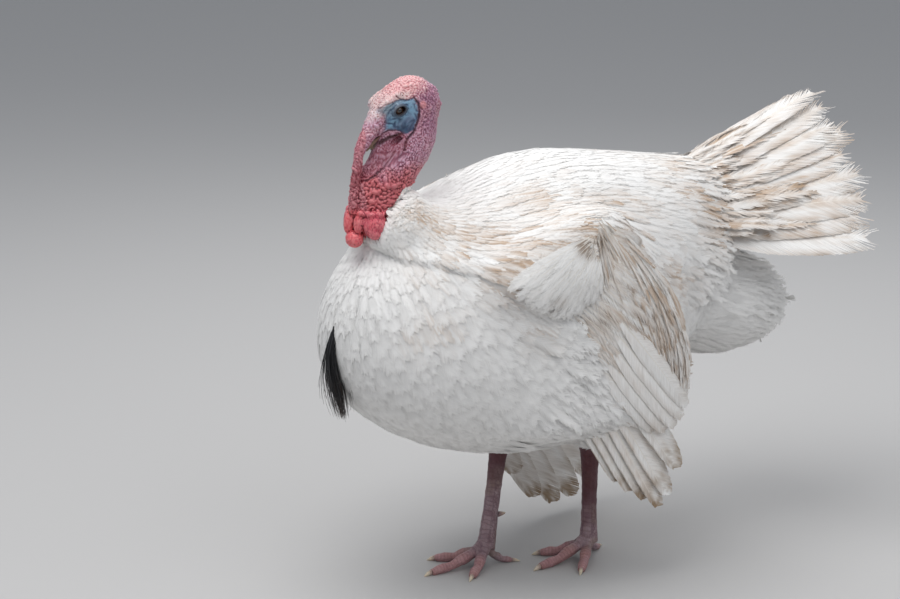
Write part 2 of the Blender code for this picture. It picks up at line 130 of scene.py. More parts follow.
def smooth_through(keys, count=200):
    """A smooth curve through (t, value, ...) keys: a function of an array of t."""
    keys = np.array(keys, float)
    t, v = keys[:, 0], keys[:, 1:]
    slopes = np.gradient(v, t, axis=0)
    x = np.linspace(t[0], t[-1], count)
    i = np.clip(np.searchsorted(t, x) - 1, 0, len(t) - 2)
    h = (t[i + 1] - t[i])[:, None]
    s = ((x - t[i])[:, None]) / h
    a, b = 2 * s**3 - 3 * s**2 + 1, s**3 - 2 * s**2 + s
    c, d = -2 * s**3 + 3 * s**2, s**3 - s**2
    table = a * v[i] + b * h * slopes[i] + c * v[i + 1] + d * h * slopes[i + 1]

    def at(q):
        q = np.asarray(q, float)
        return np.stack([np.interp(q, x, table[:, k]) for k in range(table.shape[1])], axis=-1)

    return at


def head_axes():
    """Rows: forward, left and up of the head."""
    turn = Matrix.Rotation(-HEAD_YAW, 3, "Z") @ Matrix.Rotation(HEAD_PITCH, 3, "X")
    return np.array([turn @ Vector(v) for v in ((0, -1, 0), (1, 0, 0), (0, 0, 1))])


HEAD = head_axes()


def in_head(forward, left, up):
    return SKULL + np.array((forward, left, up)) @ HEAD


def origin_of_bird():
    """Where the bird's own origin is in the row's frame, from the place of the left eye."""
    low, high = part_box("eye_left")
    middle = np.array((low + high) / 2) - in_head(*EYE_PLACE)
    middle[2] = 0.0
    return middle


ORIGIN = origin_of_bird()


# ---------------------------------------------------------------- noise


def lattice(i, seed):
    """Repeatable numbers from 0 to 1 for integer places."""
    i = i.astype(np.int64)
    h = (i[..., 0] * 374761393 + i[..., 1] * 668265263 + i[..., 2] * 1274126177 + seed * 974711) & 0xFFFFFFFF
    h = ((h ^ (h >> 13)) * 1274126177) & 0xFFFFFFFF
    h = ((h ^ (h >> 16)) * 668265263) & 0xFFFFFFFF
    return (h ^ (h >> 15)) / 0xFFFFFFFF


def noise(p, size, seed=0):
    """Smooth noise from -1 to 1 with blobs of about that size."""
    q = np.asarray(p) / size
    base = np.floor(q)
    f = q - base
    f = f * f * (3 - 2 * f)
    total = 0.0
    for corner in product((0, 1), repeat=3):
        corner = np.array(corner)
        weight = np.prod(np.where(corner, f, 1 - f), axis=-1)
        total = total + weight * lattice(base + corner, seed)
    return total * 2 - 1


def cells(p, size, seed=0):
    """Distances, in cells, to the nearest and second nearest of scattered points, and the nearest's number."""
    q = np.asarray(p) / size
    base = np.floor(q)
    first = np.full(q.shape[:-1], 9.0)
    second = first.copy()
    number = np.zeros(q.shape[:-1])
    for step in product((-1, 0, 1), repeat=3):
        cell = base + np.array(step)
        spot = cell + np.stack([lattice(cell, seed + k) for k in range(3)], axis=-1)
        d = np.linalg.norm(q - spot, axis=-1)
        closer = d < first
        second = np.where(closer, first, np.minimum(second, d))
        number = np.where(closer, lattice(cell, seed + 7), number)
        first = np.where(closer, d, first)
    return first, second, number


def seams(p, size, seed, low, high):
    """1 on the borders between cells of about that size, 0 inside them."""
    first, second, _ = cells(p, size, seed)
    return 1 - ramp(second - first, low, high)


# ---------------------------------------------------------------- meshes


def mesh_object(name, verts, faces, finish, marks=None, maps=None, smooth=True, facing=None):
    """An object from arrays.

    marks are attributes, maps are UV maps and facing is a normal, each of them point by point.
    """
    faces = np.asarray(faces, np.int32)
    sides = faces.shape[1]
    mesh = bpy.data.meshes.new(name)
    mesh.vertices.add(len(verts))
    mesh.vertices.foreach_set("co", np.asarray(verts + ORIGIN, np.float32).ravel())
    mesh.loops.add(faces.size)
    mesh.loops.foreach_set("vertex_index", faces.ravel())
    mesh.polygons.add(len(faces))
    mesh.polygons.foreach_set("loop_start", np.arange(0, faces.size, sides, dtype=np.int32))
    mesh.polygons.foreach_set("loop_total", np.full(len(faces), sides, np.int32))
    mesh.update(calc_edges=True)
    for key, values in (marks or {}).items():
        made = mesh.attributes.new(key, "FLOAT_COLOR", "POINT")
        made.data.foreach_set("color", np.c_[values, np.ones(len(values))].astype(np.float32).ravel())
    for key, values in (maps or {}).items():
        layer = mesh.uv_layers.new(name=key)
        layer.data.foreach_set("uv", np.asarray(values, np.float32)[faces.ravel()].ravel())
    mesh.polygons.foreach_set("use_smooth", np.full(len(faces), smooth, bool))
    mesh.materials.append(finish)
    if facing is not None:
        mesh.normals_split_custom_set_from_vertices(facing.tolist())
    made = bpy.data.objects.new(name, mesh)
    bpy.context.scene.collection.objects.link(made)
    return made


def fit(piece, slot, *nodes):
    """The piece rides on the root and stands for those nodes, which it hides. slot is not used."""
    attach(piece, "root")
    if nodes:
        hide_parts(*nodes)
    return piece


def grid_faces(rows, columns, closed=False):
    """Quads over a grid of points, row by row. closed joins the last column to the first."""
    r, c = np.meshgrid(np.arange(rows - 1), np.arange(columns if closed else columns - 1), indexing="ij")
    here, after = r * columns + c, r * columns + (c + 1) % columns
    return np.stack([here, after, after + columns, here + columns], -1).reshape(-1, 4)


def repeated(faces, count, each):
    """The faces of one run of points, for a count of such runs one after the other."""
    return (faces[None] + (np.arange(count) * each)[:, None, None]).reshape(-1, 4)


def neighbours_of(faces, count):
    """Edges of the faces, each once, and how many meet at each point."""
    edges = np.concatenate([np.stack([faces[:, i], faces[:, (i + 1) % faces.shape[1]]], 1)
                            for i in range(faces.shape[1])])
    edges = np.unique(np.sort(edges, axis=1), axis=0)
    degree = np.bincount(edges.ravel(), minlength=count)
    return edges, np.maximum(degree, 1)


def around(values, edges, degree):
    """The mean of each point's neighbours."""
    total = np.zeros_like(values)
    np.add.at(total, edges[:, 0], values[edges[:, 1]])
    np.add.at(total, edges[:, 1], values[edges[:, 0]])
    return total / (degree[:, None] if values.ndim > 1 else degree)


def point_normals(verts, faces):
    corners = [verts[faces[:, k]] for k in range(faces.shape[1])]
    if len(corners) == 4:
        face = np.cross(corners[2] - corners[0], corners[3] - corners[1])
    else:
        face = np.cross(corners[1] - corners[0], corners[2] - corners[0])
    total = np.zeros_like(verts)
    for k in range(faces.shape[1]):
        np.add.at(total, faces[:, k], face)
    return unit(total)


# ---------------------------------------------------------------- clay


class Clay:
    """A field on a grid, built up by soft additions and cuts. Its zero level is the surface."""

    def __init__(self, low, high, step):
        self.low, self.step = np.array(low, float), step
        counts = np.ceil((np.array(high) - self.low) / step).astype(int) + 1
        self.lines = [self.low[i] + step * np.arange(counts[i]) for i in range(3)]
        self.field = np.full(counts, 0.02, np.float32)

    def window(self, low, high):
        """The part of the grid inside a box, and its points."""
        spans = []
        for line, a, b in zip(self.lines, low, high):
            spans.append(slice(max(np.searchsorted(line, a) - 1, 0), np.searchsorted(line, b) + 1))
        points = np.meshgrid(*(line[span].astype(np.float32) for line, span in zip(self.lines, spans)),
                             indexing="ij", sparse=True)
        return tuple(spans), points

    def put(self, spans, value, soft, cut=False):
        old = self.field[spans]
        if cut:
            value = -value
        h = np.maximum(soft - np.abs(old - value), 0) / soft
        blend = h * h * soft * 0.25
        self.field[spans] = np.maximum(old, value) + blend if cut else np.minimum(old, value) - blend

    def egg(self, centre, sizes, axes=np.eye(3), soft=0.003, cut=False):
        centre, sizes, axes = np.asarray(centre), np.asarray(sizes, float), np.asarray(axes)
        reach = np.abs(axes.T * sizes).sum(axis=1) + soft * 2 + 0.002
        spans, (x, y, z) = self.window(centre - reach, centre + reach)
        x, y, z = x - centre[0], y - centre[1], z - centre[2]
        near, far = 0.0, 0.0
        for axis, size in zip(axes, sizes):
            along = x * axis[0] + y * axis[1] + z * axis[2]
            near = near + (along / size) ** 2
            far = far + (along / size**2) ** 2
        near, far = np.sqrt(near), np.sqrt(far)
        self.put(spans, near * (near - 1) / np.maximum(far, 1e-9), soft, cut)

    def strand(self, path, radii, soft=0.003, cut=False, flat=1.0):
        """A tube through points, with a radius at each. flat squeezes it along x."""
        path = np.asarray(path, float)
        for a, b, ra, rb in zip(path, path[1:], radii, radii[1:]):
            reach = max(ra, rb) + soft * 2 + 0.002
            spans, (x, y, z) = self.window(np.minimum(a, b) - reach, np.maximum(a, b) + reach)
            d = b - a
            t = np.clip(((x - a[0]) * d[0] + (y - a[1]) * d[1] + (z - a[2]) * d[2]) / (d @ d), 0, 1)
            across = (x - a[0] - t * d[0]) / flat
            gap = np.sqrt(across**2 + (y - a[1] - t * d[1]) ** 2 + (z - a[2] - t * d[2]) ** 2)
            self.put(spans, gap - (ra + (rb - ra) * t), soft, cut)

    def close_corners(self):
        """Fill the places where the clay would touch itself only along an edge."""
        for _ in range(6):
            filled = 0
            for u, v in ((0, 1), (0, 2), (1, 2)):
                def shifted(du, dv):
                    cut = [slice(None)] * 3
                    cut[u] = slice(du, self.field.shape[u] - 1 + du)
                    cut[v] = slice(dv, self.field.shape[v] - 1 + dv)
                    return tuple(cut)
                a, b, c, d = (self.field[shifted(*s)] < 0 for s in ((0, 0), (1, 0), (1, 1), (0, 1)))
                crossed = (a == c) & (b == d) & (a != b)
                filled += int(crossed.sum())
                for s in ((0, 0), (1, 0), (1, 1), (0, 1)):
                    part = self.field[shifted(*s)]
                    part[crossed & (part >= 0)] = -1e-5
            if not filled:
                break

    def mesh(self):
        """Points and quads over the zero level: one point in each cell that it crosses."""
        field, shape = self.field, np.array(self.field.shape) - 1
        inside = field < 0
        count = np.zeros(shape, np.int8)
        for corner in product((0, 1), repeat=3):
            count += inside[tuple(slice(c, c + n) for c, n in zip(corner, shape))]
        crossed = np.argwhere((count > 0) & (count < 8))
        index = np.full(shape, -1, np.int32)
        index[tuple(crossed.T)] = np.arange(len(crossed))
        total, hits = np.zeros((len(crossed), 3)), np.zeros(len(crossed))
        for axis in range(3):
            others = [i for i in range(3) if i != axis]
            for pair in product((0, 1), repeat=2):
                start = np.zeros(3, int)
                start[others] = pair
                end = start.copy()
                end[axis] = 1
                fa, fb = (field[tuple((crossed + s).T)] for s in (start, end))
                cut = (fa < 0) != (fb < 0)
                t = fa[cut] / (fa[cut] - fb[cut])
                total[cut] += start + t[:, None] * (end - start)
                hits[cut] += 1
        verts = self.low + (crossed + total / hits[:, None]) * self.step
        quads = []
        for axis in range(3):
            ahead = [slice(None)] * 3
            here = [slice(None)] * 3
            ahead[axis], here[axis] = slice(1, None), slice(None, -1)
            a, b = inside[tuple(here)], inside[tuple(ahead)]
            u, v = (axis + 1) % 3, (axis + 2) % 3
            for found, turn in ((a & ~b, 1), (~a & b, -1)):
                p = np.argwhere(found)
                p = p[(p[:, u] > 0) & (p[:, v] > 0) & (p[:, u] < shape[u]) & (p[:, v] < shape[v])]
                du, dv = np.eye(3, dtype=int)[u], np.eye(3, dtype=int)[v]
                ring = [p - du - dv, p - dv, p, p - du]
                quads.append(np.stack([index[tuple(q.T)] for q in ring[::turn]], axis=1))
        return verts, np.concatenate(quads)


# ---------------------------------------------------------------- the bare head and neck

HEAD_KEYS = (  # forward, half width, half height, lift
    (-0.053, 0.003, 0.005, -0.006),
    (-0.044, 0.0180, 0.0240, -0.005),
    (-0.028, 0.0270, 0.0375, -0.002),
    (-0.008, 0.0300, 0.0420, 0.0),
    (0.012, 0.0280, 0.0405, 0.001),
    (0.030, 0.0235, 0.0370, 0.003),
    (0.044, 0.0180, 0.0310, 0.003),
    (0.056, 0.0125, 0.0200, -0.003),
    (0.060, 0.0080, 0.0120, -0.004),
)
EYE_OPENING = (0.0187, 0.0146)  # forward and up of the skull
EYE_TILT = math.radians(11)  # the front corner is higher in the head
LID_REACH = (0.0084, 0.0056)

# The blue patch round the eye: forward and up at its corners.
FACE_PATCH = (
    (0.0440, 0.0325), (0.0400, 0.0225), (0.0440, 0.0120), (0.0495, 0.0045), (0.0537, 0.0005), (0.0459, -0.0014),
    (0.0373, -0.0070), (0.0330, -0.0120), (0.0315, -0.0175), (0.0275, -0.0212), (0.0190, -0.0212), (0.0079, -0.0155),
    (-0.0021, -0.0050), (-0.0071, 0.0043), (-0.0090, 0.0150), (0.0000, 0.0205), (0.0134, 0.0290), (0.0325, 0.0345),
)
# Folds of the face: forward and up along each, how wide and how deep.
FACE_FOLDS = (
    (((0.0460, 0.0335), (0.0325, 0.0343), (0.0134, 0.0281), (0.0035, 0.0198), (-0.0090, 0.0153)), 0.0009, 0.0006),
    (((0.0103, 0.0330), (0.0074, 0.0255), (-0.0012, 0.0180), (-0.0107, 0.0160)), 0.0011, 0.0009),
    (((-0.0090, 0.0150), (-0.0095, 0.0060), (-0.0045, -0.0045), (0.0060, -0.0150), (0.0200, -0.0235),
      (0.0330, -0.0262), (0.0400, -0.0305), (0.0460, -0.0360)), 0.0017, 0.0015),
    (((0.0580, 0.0000), (0.0459, -0.0016), (0.0373, -0.0072), (0.0332, -0.0120), (0.0340, -0.0195)), 0.0012, 0.0011),
    (((0.0400, 0.0225), (0.0440, 0.0120), (0.0495, 0.0045), (0.0560, 0.0015)), 0.0012, 0.0004),
    (((0.0438, 0.0110), (0.0385, 0.0046), (0.0288, 0.0008), (0.0250, 0.0044)), 0.0010, 0.0009),
    (((0.0250, 0.0044), (0.0210, -0.0026), (0.0240, -0.0102), (0.0311, -0.0120)), 0.0010, 0.0009),
    (((-0.0035, 0.0100), (-0.0022, 0.0010), (0.0060, -0.0085), (0.0150, -0.0160)), 0.0010, 0.0007),
    (((0.0370, 0.0185), (0.0300, 0.0220), (0.0200, 0.0235), (0.0110, 0.0205), (0.0045, 0.0140)), 0.0010, 0.0007),
    (((0.0330, 0.0095), (0.0250, 0.0060), (0.0150, 0.0055), (0.0075, 0.0090)), 0.0010, 0.0007),
    (((0.0180, -0.0010), (0.0130, -0.0075), (0.0160, -0.0150), (0.0230, -0.0185)), 0.0010, 0.0006),
    (((0.0420, 0.0230), (0.0330, 0.0275), (0.0200, 0.0275)), 0.0009, 0.0005),
    (((0.0390, 0.0010), (0.0340, -0.0045), (0.0290, -0.0060)), 0.0009, 0.0006),
)
# Folds on the sides of the throat: ahead and up in the bird's frame, how wide and how deep.
THROAT_FOLDS = (
    (((-0.215, 0.675), (-0.225, 0.662), (-0.235, 0.652), (-0.247, 0.642), (-0.258, 0.636)), 0.0012, 0.0010),
    (((-0.231, 0.662), (-0.224, 0.649)), 0.0009, 0.0006),
    (((-0.214, 0.663), (-0.205, 0.674)), 0.0010, 0.0006),
    (((-0.236, 0.666), (-0.247, 0.653)), 0.0009, 0.0005),
)
EAR = (-0.0145, -0.0005)

# Clay on each side of the head: forward, left and up of the skull, sizes, softness, and whether it is cut out.
SIDE_CLAY = (
    ((0.026, 0.0155, -0.010), (0.021, 0.0085, 0.014), 0.007, False),  # cheek
    ((0.021, 0.0170, 0.031), (0.021, 0.0070, 0.0075), 0.006, False),  # ridge over the eye
    ((0.0185, 0.0190, 0.0145), (0.0140, 0.0098, 0.0115), 0.004, False),  # round the eye
    ((EAR[0], 0.0265, EAR[1]), (0.0050, 0.0032, 0.0062), 0.002, False),  # ear
    ((EAR[0] + 0.0052, 0.0300, EAR[1] - 0.0020), (0.0016, 0.0030, 0.0040), 0.001, True),  # hollow of the ear
)
# Skin that runs forward along the bill, over it and under it: points, radii and softness.
BILL_SKIN = (
    (((0.040, 0.0135, 0.002), (0.054, 0.0105, 0.0035), (0.066, 0.0072, 0.0040), (0.076, 0.0050, -0.0005)),
     (0.0065, 0.0054, 0.0042, 0.0022), 0.003),
    (((0.036, 0.0135, -0.016), (0.048, 0.0095, -0.0185), (0.058, 0.0060, -0.0190)), (0.0070, 0.0050, 0.0030), 0.004),
)
MOUTH_SLIT = ((0.0660, 0.0150, -0.0105), (0.0500, 0.0175, -0.0112), (0.0365, 0.0215, -0.0148))
THROAT_WEB = (  # the fold of skin under the chin, in the middle: y, z, radius
    (-0.217, 0.690, 0.0090), (-0.231, 0.668, 0.0085), (-0.2400, 0.651, 0.0095),
    (-0.2475, 0.636, 0.0110), (-0.252, 0.615, 0.0150), (-0.252, 0.592, 0.0210),
)
FRONT_LOBES = (  # place and sizes: a pair of long lobes over a round one
    ((-0.0055, -0.2750, 0.5765), (0.0190, 0.0088, 0.0090)),
    ((0.0110, -0.2690, 0.5775), (0.0185, 0.0088, 0.0090)),
    ((0.0030, -0.2735, 0.5515), (0.0130, 0.0150, 0.0125)),
)


def head_place(p):
    """Forward, left and up of the skull for world points."""
    return (p - SKULL) @ HEAD.T


def to_polyline(x, y, line):
    """Distance from points to a line of (x, y) corners."""
    best = np.full(np.shape(x), 9.0)
    for (ax, ay), (bx, by) in zip(line, line[1:]):
        dx, dy = bx - ax, by - ay
        t = np.clip(((x - ax) * dx + (y - ay) * dy) / (dx * dx + dy * dy), 0, 1)
        best = np.minimum(best, np.hypot(x - ax - t * dx, y - ay - t * dy))
    return best


def signed_away(x, y, ring):
    """Distance from points to a closed ring of (x, y) corners, negative inside it."""
    inside = np.zeros(np.shape(x), bool)
    for (ax, ay), (bx, by) in zip(ring, ring[1:] + ring[:1]):
        crossed = (ay > y) != (by > y)
        inside ^= crossed & (x < (bx - ax) * (y - ay) / (by - ay + 1e-12) + ax)
    away = to_polyline(x, y, ring + ring[:1])
    return np.where(inside, -away, away)


def neck_frame(p):
    """How far down the neck a point is (0 to 1), its radius share, and its angle from the front."""
    line = smooth_through(NECK_KEYS)(np.linspace(0, 1, 60))
    y, z, radius = line.T
    gap = np.hypot(p[:, None, 1] - y, p[:, None, 2] - z)
    nearest = gap.argmin(axis=1)
    along = nearest / 59
    step = np.gradient(line[:, :2], axis=0)
    step /= np.linalg.norm(step, axis=1, keepdims=True)
    ahead = (p[:, 1] - y[nearest]) * step[nearest, 1] - (p[:, 2] - z[nearest]) * step[nearest, 0]
    share = np.hypot(p[:, 0] / 0.92, gap.min(axis=1)) / radius[nearest]
    return along, share, np.arctan2(p[:, 0], ahead)


def face_masks(p):
    """Where the regions of the head are: blue face, pale brow, lids, the folds' depth, and the head place."""
    f, l, u = head_place(p).T
    near_face = ramp(np.abs(l), 0.010, 0.017)
    away = signed_away(f, u, FACE_PATCH) + 0.0016 * noise(p, 0.008, 3) + 0.0009 * noise(p, 0.0035, 5)
    soft = 1 + 3.5 * ramp(f, 0.026, 0.040) * ramp(u, -0.004, 0.006)
    blue = near_face * (1 - ramp(away, -0.0014 * soft, 0.0012 * soft))
    brow = (1 - blue) * ramp(u, 0.018, 0.026) * ramp(f, -0.020, -0.004) * (1 - ramp(away, 0.0070, 0.0150))
    front = ramp(f, 0.030, 0.046) * ramp(u, 0.020, 0.030) * (1 - ramp(f, 0.060, 0.072))
    brow = np.maximum(brow, 0.8 * (1 - blue) * front)
    ex, ey = f - EYE_OPENING[0], u - EYE_OPENING[1]
    turn, rise = math.cos(EYE_TILT), math.sin(EYE_TILT)
    lid = np.hypot((ex * turn + ey * rise) / LID_REACH[0], (ey * turn - ex * rise) / LID_REACH[1])
    folds = np.zeros(len(p))
    close = near_face > 0
    for line, wide, deep in FACE_FOLDS:
        away = to_polyline(f[close] + 0.0005 * noise(p[close], 0.004, 9), u[close], line)
        folds[close] = np.maximum(folds[close], deep * bell(away, wide))
    folds *= near_face
    side = ramp(np.abs(p[:, 0]), 0.004, 0.010)
    for line, wide, deep in THROAT_FOLDS:
        away = to_polyline(p[:, 1] + 0.0006 * noise(p, 0.004, 11), p[:, 2], line)
        folds = np.maximum(folds, deep * side * bell(away, wide))
    return blue, brow, lid, folds, (f, l, u)


def spread_points(points, spacing, rng):
    """Numbers of the points kept so that no two are closer than the spacing there."""
    cell = float(spacing.min())
    reach = int(math.ceil(float(spacing.max()) / cell))
    keys = np.floor(points / cell).astype(int)
    taken, kept = {}, []
    steps = list(product(range(-reach, reach + 1), repeat=3))
    near_steps = {r: [s for s in steps if max(map(abs, s)) <= r] for r in range(1, reach + 1)}
    for i in rng.permutation(len(points)):
        x, y, z = keys[i]
        px, py, pz = points[i]
        gap = spacing[i]
        near = near_steps[min(reach, int(math.ceil(gap / cell)))]
        if not any((px - q[0]) ** 2 + (py - q[1]) ** 2 + (pz - q[2]) ** 2 < gap * gap
                   for a, b, c in near for q in taken.get((x + a, y + b, z + c), ())):
            taken.setdefault((x, y, z), []).append(points[i])
            kept.append(i)
    return np.array(kept)


def model_bare_parts(step):
    """Clay for the head, neck, snood and caruncles."""
    clay = Clay((-0.056, -0.302, 0.520), (0.056, -0.110, 0.786), step)
    corners = [in_head(*corner) for corner in product((-0.06, 0.066), (-0.036, 0.036), (-0.052, 0.052))]
    spans, (x, y, z) = clay.window(np.min(corners, axis=0), np.max(corners, axis=0))
    x, y, z = x - SKULL[0], y - SKULL[1], z - SKULL[2]
    f, l, u = (x * a[0] + y * a[1] + z * a[2] for a in HEAD)
    section = smooth_through(HEAD_KEYS, 400)(f)
    wide, tall, lift = np.maximum(section[..., 0], 0.002), np.maximum(section[..., 1], 0.002), section[..., 2]
    near = np.sqrt((l / wide) ** 2 + ((u - lift) / tall) ** 2)
    far = np.sqrt((l / wide**2) ** 2 + ((u - lift) / tall**2) ** 2)
    gap = np.maximum(near * (near - 1) / np.maximum(far, 1e-9), np.maximum(-0.053 - f, f - 0.060))
    clay.put(spans, gap, 0.004)

    line = smooth_through(NECK_KEYS)(np.linspace(0, 1, 14))
    clay.strand(np.c_[np.zeros(14), line[:, :2]], line[:, 2] - 0.0012, 0.014, flat=0.92)
    clay.strand([(0, *w[:2]) for w in THROAT_WEB], [w[2] for w in THROAT_WEB], 0.009)

    def beside(place, sign):
        return in_head(place[0], place[1] * sign, place[2])

    for sign in (1, -1):
        for place, sizes, soft, cut in SIDE_CLAY:
            clay.egg(beside(place, sign), sizes, HEAD, soft, cut)
    clay.egg(in_head(0.050, 0, 0.008), (0.018, 0.0135, 0.0135), HEAD, 0.006)  # over the root of the bill
    for sign in (1, -1):
        for path, radii, soft in BILL_SKIN:
            clay.strand([beside(place, sign) for place in path], radii, soft)
        clay.egg(beside((0.044, 0.0185, -0.0215), sign), (0.0105, 0.0050, 0.0050), HEAD, 0.004, True)
        clay.strand([beside(place, sign) for place in MOUTH_SLIT], (0.0017, 0.0015, 0.0011), 0.001, True)

    # The snood, rooted over the bill and hanging before the throat.
    line = smooth_through(SNOOD_KEYS)(np.linspace(0, 1, 40))
    swell = 1 + 0.10 * noise(line[:, :3], 0.011, 21)
    clay.strand(line[:, :3], line[:, 3] * swell - 0.0006, 0.0045)

    # Caruncles: a pair of long lobes over a round one in front, and a large one on each side.
    down = np.array([(0, -0.25, -0.97), (1, 0, 0), (0, -0.97, 0.25)])
    for centre, sizes in FRONT_LOBES:
        clay.egg(centre, sizes, down, 0.0016)
    for sign, centre in ((1, (0.0270, -0.2540, 0.5740)), (-1, (-0.0285, -0.2520, 0.5740))):
        centre = np.array(centre)
        clay.egg(centre, (0.0205, 0.0165, 0.0165), down, 0.002)
        clay.egg(centre + (0.006 * sign, -0.004, -0.010), (0.0110, 0.0100, 0.0110), down, 0.0015)
        clay.egg(centre + (-0.007 * sign, -0.008, 0.003), (0.0120, 0.0070, 0.0080), down, 0.0012)
        for k, t in enumerate(np.arange(9) / 8):  # beads along its lower edge
            bead = centre + (sign * (0.004 + 0.013 * t), 0.009 * t, -0.0205 + 0.0035 * t)
            bead = bead + 0.0015 * np.array((noise(bead * (1, k + 1, 1), 0.003, 31), 0, noise(bead, 0.002, 33)))
            clay.egg(bead, (0.0036, 0.0030, 0.0030), soft=0.0008)
    return clay


def on_snood(p, low, high):
    """Where the snood is, between two heights."""
    y, z = p.T[1:]
    return (y < -0.2635 + 0.10 * (z - 0.640) * (z > 0.64)) & (z > low) & (z < high)


def nodule_spacing(p):
    """How far apart the nodules are at points of the bare skin. Zero where there are none."""
    blue, brow, lid = face_masks(p)[:3]
    facing = np.cos(neck_frame(p)[2])
    z = p[:, 2]
    gap = mix(0.0040, 0.0050, ramp(0.700 - z, 0.0, 0.05))
    gap = gap + 0.0014 * ramp(0.652 - z, 0.0, 0.035) * ramp(facing, -0.9, 0.5)
    gap = gap + 0.0006 * noise(p, 0.01, 41)
    throat = bell(z - 0.664, 0.020) * ramp(facing, -0.2, 0.5)
    snood = on_snood(p, 0.592, 0.725)
    gap = np.where(snood, 0.0040, gap) * (1 - 0.18 * (brow > 0.5))
    smooth = (blue > 0.35) | (lid < 1.9) | ((throat > 0.75) & ~snood) | (z < 0.589)
    return np.where(smooth, 0.0, gap)


def add_nodules(clay, rng):
    """Warts all over the bare skin, longer along one way, and the almond openings of the lids."""
    verts, faces = clay.mesh()
    normals = point_normals(verts, faces)
    gap = nodule_spacing(verts)
    free = (gap > 0) & (verts[:, 2] > 0.560)
    verts, normals, gap = verts[free], normals[free], gap[free]
    gap = gap * (0.54 + 1.00 * rng.random(len(gap)) ** 1.3)
    for i in spread_points(verts, gap, rng):
        n = normals[i]
        ring = np.cross(n, (0.0, -0.42, -0.90))
        ring = ring / max(np.linalg.norm(ring), 1e-6)
        low = float(ramp(0.665 - verts[i, 2], 0.0, 0.03))
        sway = 2.6 * float(noise(verts[i], 0.009, 43)) + 0.5 * low + 1.2 * (1 - low)
        ring = ring * math.cos(sway) + np.cross(n, ring) * math.sin(sway)
        r = gap[i] * (0.54 + 0.09 * low)
        long = r * (1.02 + (0.65 + 0.25 * (1 - low)) * rng.random() ** 1.5)
        stand = r * (0.75 + 0.40 * rng.random()) * (0.85 + 0.3 * low)
        clay.egg(verts[i] - n * r * 0.18, (long, stand, r * 0.90), (ring, n, np.cross(n, ring)), r * 0.45)
    turn, rise = math.cos(EYE_TILT), math.sin(EYE_TILT)
    axes = np.array(((turn, 0, rise), (0, 1, 0), (-rise, 0, turn))) @ HEAD
    for sign in (1, -1):
        place = in_head(EYE_OPENING[0], 0.0275 * sign, EYE_OPENING[1])
        clay.egg(place, (0.0114, 0.0032, 0.0076), axes, 0.004)
        clay.egg(place, (0.0079, 0.0085, 0.0046), axes, 0.0012, True)


def largest_island(verts, faces):
    """The surface without the small ones that are loose in it."""
    a, b = faces.ravel(), np.roll(faces, 1, axis=1).ravel()
    label = np.arange(len(verts))
    while True:
        low = np.minimum(label[a], label[b])
        new = label.copy()
        np.minimum.at(new, a, low)
        np.minimum.at(new, b, low)
        new = new[new]
        if (new == label).all():
            break
        label = new
    keep = label == np.bincount(label).argmax()
    number = np.cumsum(keep) - 1
    return verts[keep], number[faces[keep[faces[:, 0]]]]


def decimated(verts, faces, target):
    """The same surface in about that many triangles, fewest where it is smooth."""
    scratch = mesh_object("scratch", verts, faces, None)
    thin = scratch.modifiers.new("thin", "DECIMATE")
    thin.ratio = target / (2 * len(faces))
    thin.use_collapse_triangulate = True
    mesh = scratch.evaluated_get(bpy.context.evaluated_depsgraph_get()).to_mesh()
    return taken_apart(scratch, mesh)


def taken_apart(scratch, mesh):
    """Points and triangles of a mesh, in bird coordinates. The scratch object goes."""
    mesh.calc_loop_triangles()
    verts = np.zeros(len(mesh.vertices) * 3, np.float32)
    mesh.vertices.foreach_get("co", verts)
    tris = np.zeros(len(mesh.loop_triangles) * 3, np.int32)
    mesh.loop_triangles.foreach_get("vertices", tris)
    bpy.data.objects.remove(scratch)
    return verts.reshape(-1, 3).astype(float) - ORIGIN, tris.reshape(-1, 3)


def skin_relief(p):
    """How far the finer wrinkles of the bare skin sink it, and how much painted shade darkens its colour in them."""
    blue, _, _, folds, (f, _, u) = face_masks(p)
    facing = np.cos(neck_frame(p)[2])
    y, z = p.T[1:]

    def shaken(size, amount, seed):
        return amount * noise(p, size, seed)[:, None]

    # The throat is a net of wrinkles, drawn out along the neck.
    throat = bell(z - 0.662, 0.026) * ramp(facing, -0.7, 0.3) * ramp(y, -0.262, -0.252)
    lean = np.array(((1, 0, 0), (0, 0.91, -0.42), (0, 0.42, 0.91)))  # rows: across, ahead, along the neck
    net = seams((p @ lean.T) * (1.0, 1.0, 0.42) + shaken(0.006, 0.0010, 51), 0.0040, 53, 0.02, 0.26)
    # The lobes are cut into large cells and each of these into small ones.
    lobe = ramp(0.602 - z, 0.0, 0.008)
    large = seams(p * (1, 1, 0.7) + shaken(0.004, 0.0008, 57), 0.0062, 59, 0.0, 0.22)
    small = seams(p + shaken(0.003, 0.0006, 63), 0.0027, 65, 0.0, 0.35)
    # The blue face has rings round the eye, and wrinkles beyond them.
    ripple = np.hypot(f - EYE_OPENING[0], (u - EYE_OPENING[1]) * 1.3)
    round_eye = blue * ramp(ripple, 0.0095, 0.0105) * ramp(0.021 - ripple, 0.0, 0.006)
    rings = np.sin(ripple / 0.00245 * 2 * math.pi + 3 * noise(p, 0.008, 61))
    wrinkle = seams(p * (1, 1, 0.8) + shaken(0.005, 0.0010, 67), 0.0044, 69, 0.0, 0.20)
    wrinkle = wrinkle * blue * ramp(ripple, 0.0100, 0.0125)
    sink = 0.0011 * net * throat + 0.0006 * large * lobe + 0.00028 * small * lobe + 0.00022 * rings * round_eye
    sink = sink + 0.00034 * wrinkle + folds
    # Painted shade: how much the colour darkens in the net of the throat, the cells of the lobes, the wrinkles and the
    # folds.
    crease_shade = np.maximum(net * throat, folds / 0.0012) + 0.35 * large * lobe + 0.8 * wrinkle
    return sink, np.clip(crease_shade, 0, 1)
